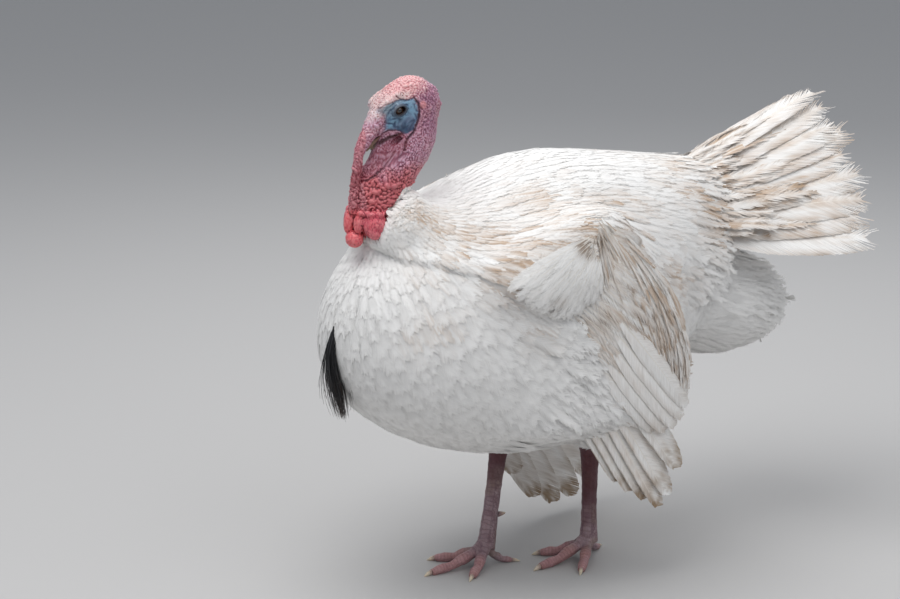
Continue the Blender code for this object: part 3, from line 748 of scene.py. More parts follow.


# ---------------------------------------------------------------- colours of the bare skin

# The _PALE colours are painted highlights on the tops of the nodules and the _CREASE colours painted shade in the
# creases between them; BLUE_DARK is partly the face's own darker blue and partly painted shade in its valleys.
CROWN = linear(208, 138, 142)
CROWN_PALE = linear(238, 200, 198)
CROWN_CREASE = linear(132, 48, 56)
NAPE = linear(156, 96, 116)
NAPE_PALE = linear(206, 160, 176)
NAPE_CREASE = linear(90, 42, 64)
BLUE = linear(128, 168, 194)
BLUE_DARK = linear(60, 92, 130)
BROW = linear(216, 206, 202)
THROAT = linear(192, 116, 136)
THROAT_PALE = linear(214, 184, 204)
NECK_RED = linear(182, 78, 86)
NECK_PALE = linear(214, 124, 128)
NECK_CREASE = linear(98, 18, 32)
LOBE_RED = linear(232, 90, 100)
LOBE_SIDE = linear(200, 80, 104)
SNOOD = linear(166, 84, 96)


def paint_bare_skin(verts, stand, crease_shade):
    """Colours of the bare head, neck, snood and caruncles, with painted highlights on the tops of their nodules and
    painted shade in their creases and folds.
    """
    blue, brow, lid, folds, (f, l, u) = face_masks(verts)
    facing = np.cos(neck_frame(verts)[2])
    x, y, z = verts.T
    fine, patch = noise(verts, 0.0022, 71), noise(verts, 0.012, 73)
    top = np.clip(stand / 0.00032, -1, 1)  # tops of the nodules and the creases between them
    valley = np.maximum(-top, 0)
    # light is a painted highlight on the tops of the nodules, broken by noise; deep is painted shade in the creases
    # between them.
    light = np.clip(0.42 + 0.75 * top + 0.30 * fine + 0.22 * patch, 0, 1)
    deep = np.clip(ramp(-top, 0.10, 0.80) - 0.12 * fine, 0, 1)

    # Base colours, and the pale colours of painted highlights and the dark colours of painted shade, in layers from the
    # crown and nape down to the neck.
    crown = ramp(u, 0.0, 0.02)
    colour = mix(NAPE, CROWN, ramp(u + 0.25 * f + 0.006 * patch, 0.000, 0.026) * ramp(z, 0.70, 0.72))
    pale, dark = mix(NAPE_PALE, CROWN_PALE, crown), mix(NAPE_CREASE, CROWN_CREASE, crown)
    bruise = ramp(noise(verts, 0.017, 75), -0.05, 0.35) * (1 - ramp(u, 0.004, 0.030)) * ramp(z, 0.655, 0.675)
    lore = ramp(f, 0.038, 0.048) * ramp(z, 0.700, 0.715)
    purple = band(z, 0.630, 0.665, 0.690, 0.712) * ramp(facing, -0.9, 0.3)
    low = ramp(0.668 - z + 0.012 * patch, 0.0, 0.045)
    colour, pale = mix(colour, linear(128, 72, 112), 0.45 * bruise), mix(pale, linear(190, 150, 178), 0.45 * bruise)
    colour, pale = mix(colour, linear(176, 122, 142), lore), mix(pale, linear(214, 182, 200), lore)
    colour, pale = mix(colour, THROAT, purple * 0.8), mix(pale, THROAT_PALE, purple)
    dark = mix(mix(dark, linear(66, 28, 62), purple), NECK_CREASE, low)
    colour, pale = mix(colour, NECK_RED, low), mix(pale, NECK_PALE, low)
    colour = mix(mix(colour, pale, 0.75 * light), dark, (0.56 + 0.28 * low) * deep)

    # The snood is paler on the tops of its nodules by a painted highlight and darker in its creases by painted shade.
    snood = mix(SNOOD, linear(206, 140, 146), np.clip(0.30 + 0.55 * top + 0.30 * fine, 0, 1))
    snood = mix(snood, NECK_CREASE, 0.85 * deep)
    colour = mix(colour, snood, 0.85 * on_snood(verts, 0.590, 0.735) * ramp(u, -0.09, -0.08))
    lobe = mix(LOBE_RED, LOBE_SIDE, ramp(np.abs(x), 0.014, 0.022) * (0.75 + 0.25 * patch))
    # shine is a painted highlight on the tops of the lobes, broken by noise; their valleys and creases then get painted
    # shade.
    shine = np.clip(0.10 + 0.45 * np.maximum(top, 0) + 0.22 * fine + 0.15 * patch, 0, 1)
    lobe = mix(lobe, linear(236, 150, 150), shine)
    lobe = mix(lobe, linear(118, 18, 34), np.clip(0.8 * valley + 0.3 * crease_shade, 0, 1))
    colour = mix(colour, lobe, ramp(0.600 - z, 0.0, 0.010) * ramp(-0.226 - y, 0, 0.01))

    # The blue face, darker in its valleys by painted shade and mottled by noise, and the dark rims of the lids.
    face = mix(BLUE, BLUE_DARK, np.clip(0.22 - 0.70 * patch + 0.40 * fine - 0.45 * top, 0, 1))
    for shade, share in (
        # paler toward the brow: partly the face's own colour, partly a painted highlight
        ((176, 194, 202), ramp(u + 0.20 * f, 0.016, 0.034) * 0.70),
        ((150, 176, 198), 0.6 * ramp(-f, -0.004, 0.004) * ramp(u, -0.008, 0.004)),
        ((126, 106, 142), ramp(0.004 - u, 0.0, 0.012) * 0.45 * ramp(0.6 * fine + patch, -0.3, 0.4)),
        # painted shadow of the jaw over the lower part of the face
        ((34, 52, 84), 0.75 * ramp(-0.006 - u + 0.25 * f, 0.0, 0.014) * ramp(f, 0.004, 0.024)),
        # painted shade in the folds
        ((24, 36, 58), np.clip(folds / 0.0010, 0, 1) * 0.92),
        # painted shade in the wrinkles
        ((44, 70, 106), 0.60 * np.clip(crease_shade, 0, 1) * blue),
        ((40, 38, 50), 0.85 * band(lid, 0.92, 1.05, 1.20, 1.70 + 0.3 * patch)),
        ((28, 18, 22), 1 - ramp(lid, 0.98, 1.12)),
    ):
        face = mix(face, linear(*shade), share)

    # The pale brow, darker in its creases by painted shade, then the face, and the marks that lie over both: painted
    # shade in the folds, along the gape and in the hollow under the chin, and the pale knob of the ear.
    pale_brow = mix(BROW, colour, np.clip(0.18 + 0.35 * valley - 0.2 * patch, 0, 1))
    colour = mix(mix(colour, pale_brow, 0.75 * brow), dark, 0.85 * deep * brow)
    colour = mix(colour, face, blue)
    knob = np.hypot(f - EAR[0], (u - EAR[1]) * 0.8)
    gape = to_polyline(f, u, ((0.066, -0.0110), (0.050, -0.0115), (0.0365, -0.0150)))
    # chin is painted shade in the hollow under the mouth and bill.
    chin = ramp(-0.012 - u, 0.0, 0.006) * ramp(f, 0.028, 0.038) * (1 - ramp(-u, 0.030, 0.044))
    for shade, share in (
        # painted shade in the folds
        ((44, 18, 38), 0.85 * np.clip(folds / 0.0011, 0, 1) * (1 - blue)),
        ((222, 150, 156), (1 - ramp(knob, 0.004, 0.006)) * ramp(np.abs(l), 0.015, 0.02) * 0.8),
        # painted shade along the line of the mouth
        ((60, 12, 20), 0.9 * (1 - ramp(gape, 0.0012, 0.0042)) * ramp(np.abs(l), 0.006, 0.010)),
        ((132, 40, 52), 0.45 * chin),
    ):
        colour = mix(colour, linear(*shade), share)
    return np.clip(colour, 0, 1)


# ---------------------------------------------------------------- materials


class Finish:
    """A material in the making. Constants are set on the shader's own sockets."""

    def __init__(self, name, **sockets):
        self.material = bpy.data.materials.new(name)
        self.material.use_nodes = True
        self.nodes, self.links = self.material.node_tree.nodes, self.material.node_tree.links
        self.surface = self.nodes["Principled BSDF"].inputs
        for key, value in sockets.items():
            self.surface[key.replace("_", " ")].default_value = value

    def node(self, kind, **settings):
        made = self.nodes.new("ShaderNode" + kind)
        for key, value in settings.items():
            setattr(made, key, value)
        return made

    def tint(self):
        """The colour that each point of the mesh carries."""
        return self.node("Attribute", attribute_name="tint").outputs["Color"]

    def place(self):
        return self.node("TexCoord").outputs["Object"]

    def grain(self, size, detail=3.0, stretch=None, vector=None):
        """Noise with blobs of about that size, over the object's own coordinates or a given vector."""
        vector = vector or self.place()
        if stretch:
            scaled = self.node("VectorMath", operation="MULTIPLY")
            scaled.inputs[1].default_value = stretch
            self.links.new(vector, scaled.inputs[0])
            vector = scaled.outputs[0]
        made = self.node("TexNoise")
        made.inputs["Scale"].default_value = 1 / size
        made.inputs["Detail"].default_value = detail
        self.links.new(vector, made.inputs["Vector"])
        return made.outputs["Fac"]

    def remap(self, value, low, high, to_low=0.0, to_high=1.0):
        made = self.node("MapRange")
        for socket, number in zip(made.inputs[1:5], (low, high, to_low, to_high)):
            socket.default_value = number
        self.links.new(value, made.inputs[0])
        return made.outputs[0]

    def blended(self, kind, share, a, b):
        """Mix two colours. Share, a and b are numbers, colours or sockets."""
        made = self.node("Mix", data_type="RGBA", blend_type=kind)
        for socket, value in ((made.inputs[0], share), (made.inputs[6], a), (made.inputs[7], b)):
            if isinstance(value, bpy.types.NodeSocket):
                self.links.new(value, socket)
            else:
                socket.default_value = (*value, 1.0) if np.ndim(value) else value
        return made.outputs[2]

    def speckled(self, grain, dark, light):
        """The tint of the points, made darker and lighter by a grain."""
        speckles = self.blended("MIX", self.remap(grain, 0.3, 0.7), dark, light)
        return self.blended("MULTIPLY", 1.0, self.tint(), speckles)

    def clouded(self, tint, grain, low, high, most, colour):
        """A tint with clouds of a colour over it, where the grain is high."""
        return self.blended("MULTIPLY", self.remap(grain, low, high, 0.0, most), tint, colour)

    def done(self, tint, *bumps):
        """The material, with its colour and its (height, strength, distance) bumps, one over the other."""
        self.links.new(tint, self.surface["Base Color"])
        under = None
        for height, strength, distance in bumps:
            made = self.node("Bump")
            made.inputs["Strength"].default_value = strength
            made.inputs["Distance"].default_value = distance
            self.links.new(height, made.inputs["Height"])
            if under:
                self.links.new(under, made.inputs["Normal"])
            under = made.outputs[0]
        if under:
            self.links.new(under, self.surface["Normal"])
        return self.material


def bare_skin_finish():
    skin = Finish("bare skin", Roughness=0.46, Subsurface_Weight=0.12, Subsurface_Scale=0.004,
                  Specular_IOR_Level=0.42, Coat_Weight=0.10, Coat_Roughness=0.32,
                  Subsurface_Radius=(1.0, 0.35, 0.25))
    fine, broad = skin.grain(0.0009, 4), skin.grain(0.0050, 3)
    tint = skin.speckled(fine, (0.86, 0.83, 0.83), (1.10, 1.08, 1.07))
    tint = skin.clouded(tint, broad, 0.35, 0.75, 0.35, (0.92, 0.80, 0.82))
    skin.links.new(skin.remap(fine, 0.3, 0.8, 0.38, 0.58), skin.surface["Roughness"])
    pores = skin.node("TexVoronoi")
    pores.inputs["Scale"].default_value = 1 / 0.0013
    skin.links.new(skin.place(), pores.inputs["Vector"])
    return skin.done(tint, (pores.outputs["Distance"], 0.45, 0.00040), (fine, 0.45, 0.00030))


def plumage_finish(name, barb=0.00055, depth=0.00018):
    """White feather: the tint of each point, broken by barbs that run out from the shaft."""
    feather = Finish(name, Roughness=0.72, Specular_IOR_Level=0.25, Sheen_Weight=0.12, Sheen_Roughness=0.5,
                     Subsurface_Weight=0.0)
    place = feather.node("UVMap", uv_map="vane").outputs[0]
    barbs = feather.grain(1.0, 2.0, (1 / barb, 1 / 0.014, 1), place)
    locks = feather.grain(1.0, 2.0, (1 / (barb * 5), 1 / 0.030, 1), place)
    tint = feather.speckled(barbs, (0.90, 0.895, 0.885), (1.05, 1.05, 1.05))
    tint = feather.clouded(tint, locks, 0.42, 0.75, 0.5, (0.88, 0.86, 0.84))
    return feather.done(tint, (locks, 0.35, depth * 2), (barbs, 0.55, depth))


def leg_finish():
    scale = Finish("leg skin", Roughness=0.55, Specular_IOR_Level=0.35, Subsurface_Weight=0.05,
                   Subsurface_Scale=0.003)
    fine, broad = scale.grain(0.0010, 4), scale.grain(0.0060, 3)
    tint = scale.speckled(fine, (0.80, 0.79, 0.79), (1.15, 1.12, 1.12))
    return scale.done(scale.clouded(tint, broad, 0.4, 0.7, 0.6, (0.78, 0.66, 0.66)), (fine, 0.4, 0.0003))


def horn_finish():
    horn = Finish("horn", Roughness=0.38, Specular_IOR_Level=0.5, Subsurface_Weight=0.1, Subsurface_Scale=0.002)
    streak = horn.grain(0.0012, 3)
    return horn.done(horn.speckled(streak, (0.84, 0.82, 0.78), (1.08, 1.07, 1.05)), (streak, 0.3, 0.0002))


# ---------------------------------------------------------------- the form under the plumage


def merged(names, voxel, shrink=0.0, smooth=2):
    """One surface round some solids of the row: its points and triangles."""
    bm = bmesh.new()
    for name in names:
        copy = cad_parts[name].data.copy()
        part = bmesh.new()
        part.from_mesh(copy)
        bmesh.ops.remove_doubles(part, verts=part.verts, dist=1e-6)
        bmesh.ops.recalc_face_normals(part, faces=part.faces)
        part.normal_update()
        for v in part.verts:
            v.co -= v.normal * shrink
        part.to_mesh(copy)
        part.free()
        bm.from_mesh(copy)
        bpy.data.meshes.remove(copy)
    mesh = bpy.data.meshes.new("merged")
    bm.to_mesh(mesh)
    bm.free()
    scratch = bpy.data.objects.new("merged", mesh)
    bpy.context.scene.collection.objects.link(scratch)
    again = scratch.modifiers.new("again", "REMESH")
    again.mode = "VOXEL"
    again.voxel_size = voxel
    made = scratch.evaluated_get(bpy.context.evaluated_depsgraph_get()).to_mesh()
    verts, faces = taken_apart(scratch, made)
    edges, degree = neighbours_of(faces, len(verts))
    for _ in range(smooth):  # one step smooths and the next gives the size back
        for share in (0.60, -0.62):
            verts = verts + share * (around(verts, edges, degree) - verts)
    return verts, faces


MANTLE_EDGE = (  # where the mantle and the bend of the wing fold over the breast
    (0.040, -0.268, 0.552), (0.070, -0.270, 0.548), (0.100, -0.262, 0.542), (0.137, -0.221, 0.534),
    (0.163, -0.165, 0.512), (0.180, -0.125, 0.492), (0.192, -0.100, 0.472), (0.197, -0.066, 0.453),
    (0.202, -0.025, 0.452), (0.204, 0.012, 0.464),
)


def bridged(verts, faces, steps, reach):
    """The surface with its creases filled, as a coat lies over them, by no more than the reach."""
    edges, degree = neighbours_of(faces, len(verts))
    first = verts
    for _ in range(steps):
        normals = point_normals(verts, faces)
        out = ((around(verts, edges, degree) - verts) * normals).sum(axis=1)
        verts = verts + normals * np.maximum(out, 0)[:, None]
        moved = verts - first
        far = np.linalg.norm(moved, axis=1, keepdims=True)
        verts = first + moved * np.minimum(1, reach / np.maximum(far, 1e-9))
    for _ in range(3):
        verts = verts + 0.5 * (around(verts, edges, degree) - verts)
    return verts


def mantle_fold(p):
    """How far the plumage stands out above the fold, and how much painted shade lies under it."""
    folded = np.abs(p) * (1, 0, 0) + p * (0, 1, 1)
    best, above = np.full(len(p), 9.0), np.zeros(len(p))
    line = np.array(MANTLE_EDGE)
    for a, b in zip(line, line[1:]):
        d = b - a
        t = np.clip(((folded - a) @ d) / (d @ d), 0, 1)
        away = folded - a - t[:, None] * d
        gap = np.linalg.norm(away, axis=1)
        closer = gap < best
        best = np.where(closer, gap, best)
        above = np.where(closer, away[:, 2] + 0.6 * away[:, 1], above)
    up = above > 0
    fade = 1 - 0.60 * ramp(p[:, 1], -0.215, -0.130)
    out = 0.016 * fade * np.where(up, np.exp(-(best / 0.050) ** 1.4), bell(best, 0.006))
    return out, fade * np.where(up, 0.0, bell(best, 0.016))


BODY = ("trunk", "neck_cape", "vent_fluff", "wing_arm_left", "wing_arm_right", "thigh_left", "thigh_right")


class Form:
    """A surface that can be asked for the nearest place on it and the way out there."""

    def __init__(self, verts, faces):
        self.verts, self.faces = verts, faces
        self.normals = point_normals(verts, faces)
        edges, degree = neighbours_of(faces, len(verts))
        for _ in range(3):
            self.normals = unit(self.normals + around(self.normals, edges, degree))
        self.tree = BVHTree.FromPolygons(verts.tolist(), faces.tolist())

    def nearest(self, points):
        shape = points.shape
        flat = points.reshape(-1, 3)
        place, normal = np.empty_like(flat), np.empty_like(flat)
        for i, p in enumerate(flat.tolist()):
            place[i], _, face, _ = self.tree.find_nearest(p)
            corners = self.faces[face]
            near = 1 / (np.linalg.norm(self.verts[corners] - place[i], axis=1) + 1e-5)
            normal[i] = near @ self.normals[corners]
        return place.reshape(shape), unit(normal).reshape(shape)

    def scatter(self, count, rng):
        """Random places over the surface, evenly by area."""
        a, b, c = (self.verts[self.faces[:, i]] for i in range(3))
        area = np.linalg.norm(np.cross(b - a, c - a), axis=1)
        face = rng.choice(len(area), count, p=area / area.sum())
        u, v = rng.random(count), rng.random(count)
        flip = u + v > 1
        u, v = np.where(flip, 1 - u, u)[:, None], np.where(flip, 1 - v, v)[:, None]
        place = a[face] + u * (b - a)[face] + v * (c - a)[face]
        near = [1 - u - v, u, v]
        normal = sum(w * self.normals[self.faces[face, i]] for i, w in enumerate(near))
        return place, unit(normal)


# ---------------------------------------------------------------- feathers

# Locks on a side, segments of a lock, where the vane starts, how far the barbs sweep toward the tip, how ragged
# the vane and its tip are, how square the tip is, how far loose locks lift, how arched the vane is, and how much
# more the barbs sweep at the tip. The coat and the collar take their fray, lift and round from coat_plan.
PLAN_KEYS = ("locks", "segments", "start", "sweep", "fray", "tip_fray", "round", "lift", "camber", "comb")
PLANS = {
    "coat": (11, 3, 0.03, 2.3, 0.0, 0.35, 0.0, 0.0, 5.0, 0.0),
    "collar": (7, 2, 0.03, 2.3, 0.0, 0.35, 0.0, 0.0, 5.0, 0.0),
    "primaries": (64, 4, 0.04, 1.30, 0.04, 0.06, 5.5, 0.002, 6.0, 0.0),
    "secondaries": (64, 4, 0.04, 1.30, 0.10, 0.10, 7.0, 0.002, 6.0, 0.0),
    "primary_coverts": (38, 3, 0.05, 1.2, 0.05, 0.10, 4.5, 0.002, 8.0, 0.0),
    "greater_coverts": (34, 3, 0.04, 2.2, 0.60, 0.35, 4.5, 0.004, 6.0, 0.0),
    "plumes": (10, 2, 0.03, 4.2, 0.60, 0.2, 3.0, 0.002, 4.0, 0.0),
    "tuft": (16, 3, 0.03, 2.6, 0.46, 0.3, 3.0, 0.003, 5.0, 0.0),
    "rectrices": (84, 5, 0.04, 1.45, 0.06, 0.75, 6.0, 0.005, 3.0, 0.25),
    "tail_coverts": (26, 3, 0.04, 2.4, 0.62, 0.4, 4.5, 0.005, 4.0, 0.0),
}
PLANS = {name: dict(zip(PLAN_KEYS, values)) for name, values in PLANS.items()}


def vanes(spine, normal, half, reach, plan, rng):
    """Feathers built of barb locks. spine and normal hold the stations of each feather from root to tip.

    half is the half width on the left and right of each, reach its length and plan one of the PLANS.
    Returns points by feather, quads of one feather, and along, across, barb, edge and facing at each point.
    """
    count, stations = spine.shape[:2]
    locks, segments = plan["locks"], plan["segments"]
    edges = np.linspace(plan["start"], 1.0, locks + 1)
    u = np.linspace(0, 1, segments + 1)
    middle = (edges[:-1] + edges[1:]) / 2
    fray = np.broadcast_to(plan["fray"], (count,))[:, None, None, None]
    fray = np.clip(fray + plan["tip_fray"] * ramp(middle, 0.70, 1.0)[None, None, :, None], 0, 1)
    lift, roundness = (np.reshape(plan[key], (-1, 1, 1, 1)) for key in ("lift", "round"))
    side = np.array((1.0, -1.0))[None, :, None, None]
    r = rng.random((5, count, 2, locks, 1))
    uu = u[None, None, None, :] * (1 - fray * (0.55 * r[0] ** 2) - 0.04 * r[1])
    tight = np.clip(fray * (0.35 + 0.75 * r[1]), 0, 0.92) * ramp(u, 0.25, 1.0)
    points = []
    for edge in (0, 1):
        s = edges[edge:locks + edge][None, None, :, None]
        s = s + (middle[None, None, :, None] - s) * tight
        grow = ramp(s, plan["start"] - 0.25, plan["start"] + 0.30)
        wide = half.T[:, :, None, None] * (grow * (1 - np.clip(s, 0, 1) ** roundness) ** 0.55)
        sweep = plan["sweep"] * (1 + plan["comb"] * ramp(s, 0.72, 1.0))
        along = s + sweep * wide * uu**1.15 / reach[:, None, None, None]
        along = along + fray * (r[2] - 0.5) * 0.10 * uu**2
        across = side * wide * uu * (1 - 0.10 * uu)
        height = lift * ((r[3] - 0.45) * fray + 0.10 * (r[4] - 0.5)) * uu**1.5
        points.append(np.broadcast_arrays(along, across, height, s, uu * np.ones_like(along)))
    along, across, height, barb, edge_share = (np.stack(ab, axis=-1).reshape(count, -1) for ab in zip(*points))

    place = np.clip(along, 0, 1.25) * (stations - 1)
    low = np.clip(place.astype(int), 0, stations - 2)
    t = (place - low)[..., None]
    row = np.arange(count)[:, None]
    base = spine[row, low] * (1 - t) + spine[row, low + 1] * t
    ahead = unit(spine[row, low + 1] - spine[row, low])
    out = square_to(unit(normal[row, low] * (1 - t) + normal[row, low + 1] * t), ahead)
    left = np.cross(out, ahead)
    verts = base + left * across[..., None] + out * (height - plan["camber"] * across**2)[..., None]
    tilt = np.clip(2.0 * plan["camber"] * across, -0.6, 0.6)
    facing = unit(out + left * tilt[..., None])

    one = np.arange(segments + 1) * 2
    strip = np.stack((one[:-1], one[1:], one[1:] + 1, one[:-1] + 1), axis=1)
    faces = [(strip[:, ::-1] if k < locks else strip) + k * 2 * (segments + 1) for k in range(2 * locks)]
    return verts, np.concatenate(faces), along, across, barb, edge_share, facing


def quills_of(spine, normal, wide):
    """The shafts: a low roof along each feather. Points by feather and the quads of one."""
    spine, normal = spine[:, :-1], normal[:, :-1]
    count, stations = spine.shape[:2]
    left = unit(np.cross(normal, np.gradient(spine, axis=1)))
    w = wide * (1 - 0.85 * np.linspace(0, 1, stations)[None, :, None])
    rows = np.stack((spine + left * w, spine + normal * w * 1.1, spine - left * w), axis=2)
    return rows.reshape(count, -1, 3), grid_faces(stations, 3)


def skin_map(p):
    """A place on the unwrap of the skin for world points: turned round the bird's long axis."""
    turn = np.arctan2(p[:, 0], p[:, 2] - 0.40) / (2 * math.pi) + 0.5
    along = (p[:, 1] + 0.36) / 1.12
    return np.stack((0.01 + 0.98 * turn, 0.01 + 0.98 * along), axis=1)


def stained(p):
    """Tan dust on the plumage, the same for the skin and the coat."""
    total = np.zeros(len(p))
    for x, y, z, size, strength in STAINS:
        for mirror, share in ((1, 1.0), (-1, 0.8)):
            away = np.linalg.norm((p - (x * mirror, y, z)) * (1, 0.8, 1), axis=1)
            total = np.maximum(total, strength * share * bell(away, size))
    broken = 0.55 + 0.75 * noise(p, 0.030, 81) + 0.55 * noise(p, 0.011, 83)
    return np.clip(1.3 * total * broken, 0, 1)


STAINS = (  # x, y, z, size, strength
    (0.115, -0.190, 0.560, 0.050, 0.75),
    (0.075, -0.200, 0.600, 0.045, 0.50),
    (0.150, -0.110, 0.545, 0.060, 0.80),
    (0.120, -0.050, 0.600, 0.070, 0.50),
    (0.175, -0.020, 0.545, 0.055, 0.85),
    (0.165, 0.080, 0.560, 0.070, 0.70),
    (0.140, -0.235, 0.470, 0.028, 0.55),
    (0.120, -0.262, 0.440, 0.020, 0.40),
    (0.190, -0.100, 0.425, 0.020, 0.45),
    (0.075, 0.300, 0.600, 0.070, 0.70),
    (0.110, 0.330, 0.560, 0.070, 0.80),
    (0.140, 0.200, 0.480, 0.050, 0.40),
    (0.010, 0.200, 0.645, 0.060, 0.20),
)


def feather_object(name, built, finish, colour, roots, silk, patch=0.003, shafts=None):
    """Join built feathers into one mesh with marks and maps.

    silk is how evenly they shine and patch the size of each on the unwrap. shafts are their spines, the
    ways out there and the width of the shaft.
    """
    verts, faces, along, across, barb, _, facing = built
    count, each = verts.shape[:2]
    all_faces = repeated(faces, count, each)
    corners = [verts[:, faces[:, k]] for k in range(4)]
    own = np.cross(corners[2] - corners[0], corners[3] - corners[1])
    total = np.zeros_like(verts)
    for k in range(4):
        np.add.at(total, (slice(None), faces[:, k]), own)
    total = unit(total)
    total = total * np.sign((total * facing).sum(-1, keepdims=True) + 1e-9)
    turned = (own * facing[:, faces].mean(axis=2)).sum(-1).ravel() < 0
    all_faces[turned] = all_faces[turned][:, ::-1]
    facing = unit(facing * silk + total * (1 - silk)).reshape(-1, 3)
    at = skin_map(roots)[:, None]
    local = np.stack((np.clip(across / 0.06, -0.5, 0.5), np.clip(along, 0, 1.2) / 1.2 - 0.5), axis=-1)
    bake = (at + local * patch).reshape(-1, 2)
    vane = np.stack((barb * 0.06 + np.arange(count)[:, None] * 0.37, np.abs(across)), axis=-1).reshape(-1, 2)
    points, tints = verts.reshape(-1, 3), colour.reshape(-1, 3)
    if shafts:
        spine, out, wide = shafts
        stem, stem_faces = quills_of(spine, out, wide)
        more = stem.shape[0] * stem.shape[1]
        all_faces = np.concatenate((all_faces, repeated(stem_faces, count, stem.shape[1]) + len(points)))
        steps = np.repeat(np.linspace(0, 1, stem.shape[1] // 3), 3)
        mid = np.stack((np.zeros_like(steps), steps / 1.2 - 0.5), axis=-1)
        bake = np.concatenate((bake, (at + mid * patch).reshape(-1, 2)))
        vane = np.concatenate((vane, np.zeros((more, 2))))
        points = np.concatenate((points, stem.reshape(-1, 3)))
        tints = np.concatenate((tints, np.broadcast_to(SHAFT, (more, 3))))
        facing = np.concatenate((facing, np.repeat(out[:, :-1], 3, axis=1).reshape(-1, 3)))
    maps = {"OFBake": bake, "vane": vane}
    return mesh_object(name, points, all_faces, finish, {"tint": tints}, maps, True, facing)


def streaks(along, across, number, fine, coarse, seed):
    """Noise drawn out along each feather: so fine across it, and so coarse along it."""
    lane = np.stack((across.ravel() / fine, along.ravel() * coarse, number.ravel()), 1)
    return noise(lane, 1.0, seed).reshape(along.shape)


def feather_colour(along, across, edge, stain, shade, overlap_shade, rng):
    """Tint at the points of feathers: white, dusted tan mostly toward the tip and edges.

    Each feather gets painted shade toward its root, and a broad one more painted shade where the next ones lie over it.
    """
    worn = ramp(along, 0.25, 0.95) * (0.45 + 0.55 * edge)
    number = np.broadcast_to(rng.random(len(along))[:, None] * 900, along.shape)
    streak = np.clip(0.55 + 1.1 * streaks(along, across, number, 0.0020, 2.2, 85), 0, 1.6)
    dust = np.clip(stain[:, None] * (0.30 + 1.0 * worn) * (0.35 + streak), 0, 0.92)
    colour = mix(np.broadcast_to(WHITE, (*along.shape, 3)), TAN, dust)
    # deep is painted shade: toward the root, and on broad feathers where the next ones lie over them. shade holds each
    # feather's random tone and the painted shade under the fold of the mantle.
    deep = 1 - 0.10 * (1 - ramp(along, 0.05, 0.45)) - 0.13 * overlap_shade[:, None] * (1 - ramp(along, 0.70, 0.96))
    return colour * (deep * (1 + shade[:, None]))[..., None]


def skirt_over(p):
    """By height: where the loose feathers of the rump hang over the vent, and where they lie over the tail."""
    z = p[:, 2]
    return band(z, 0.428, 0.446, 0.510, 0.540), ramp(z, 0.500, 0.530)


def coat_flow(p):
    """The way the coat lies at points of the body."""
    x, y, z = p.T
    hang, cover = skirt_over(p)
    hips = ramp(0.270 - z, 0.0, 0.05) * ramp(0.11 - np.abs(np.abs(x) - 0.085), 0.0, 0.05) * \
        ramp(0.16 - np.abs(y - 0.06), 0.0, 0.08)
    wing = ramp(np.abs(x), 0.150, 0.175) * ramp(z, 0.42, 0.46) * ramp(0.15 - y, 0, 0.03)
    up_tail = np.stack((0.35 * x / 0.1, 0.90 + 0 * x, 1.6 * (z - 0.560)), axis=1)
    flow = unit(p - NECK_BASE) + (0.0, 0.38, -0.04)
    for way, share in (
        ((0.0, 0.95, -0.18), 0.6 * ramp(z, 0.52, 0.58) * ramp(y, -0.20, -0.10)),  # mantle
        ((0.0, 0.25, -0.97), np.clip(hips, 0, 1)),
        ((0.0, 0.80, -0.60), 0.7 * wing),
        ((0.0, 0.92, -0.30), 0.8 * on_vent(p)),
        ((0.0, 0.80, -0.52), 0.8 * ramp(y, 0.16, 0.22) * hang),
        (up_tail, 0.85 * ramp(y, 0.200, 0.260) * cover),
    ):
        flow = mix(flow, way, share[:, None])
    return flow + 0.16 * np.stack([noise(p, 0.045, 91 + k) for k in range(3)], axis=1)


def wing_cover(p):
    """Where the loose feathers of the flank stand out over the root of the folded wing."""
    x, y, z = p.T
    return band(y, -0.150, -0.030, 0.080, 0.105) * band(z, 0.225, 0.280, 0.425, 0.462) * ramp(np.abs(x), 0.10, 0.14)


def on_vent(p):
    """Where the soft plumage of the vent is."""
    away = np.linalg.norm((p - (0, 0.390, 0.368)) / (0.129, 0.095, 0.089), axis=1)
    ball = (1 - ramp(away, 1.05, 1.15)) * ramp(p[:, 1], 0.30, 0.33)
    return np.maximum(ball, ramp(p[:, 1], 0.24, 0.30) * ramp(0.432 - p[:, 2], 0.0, 0.02))


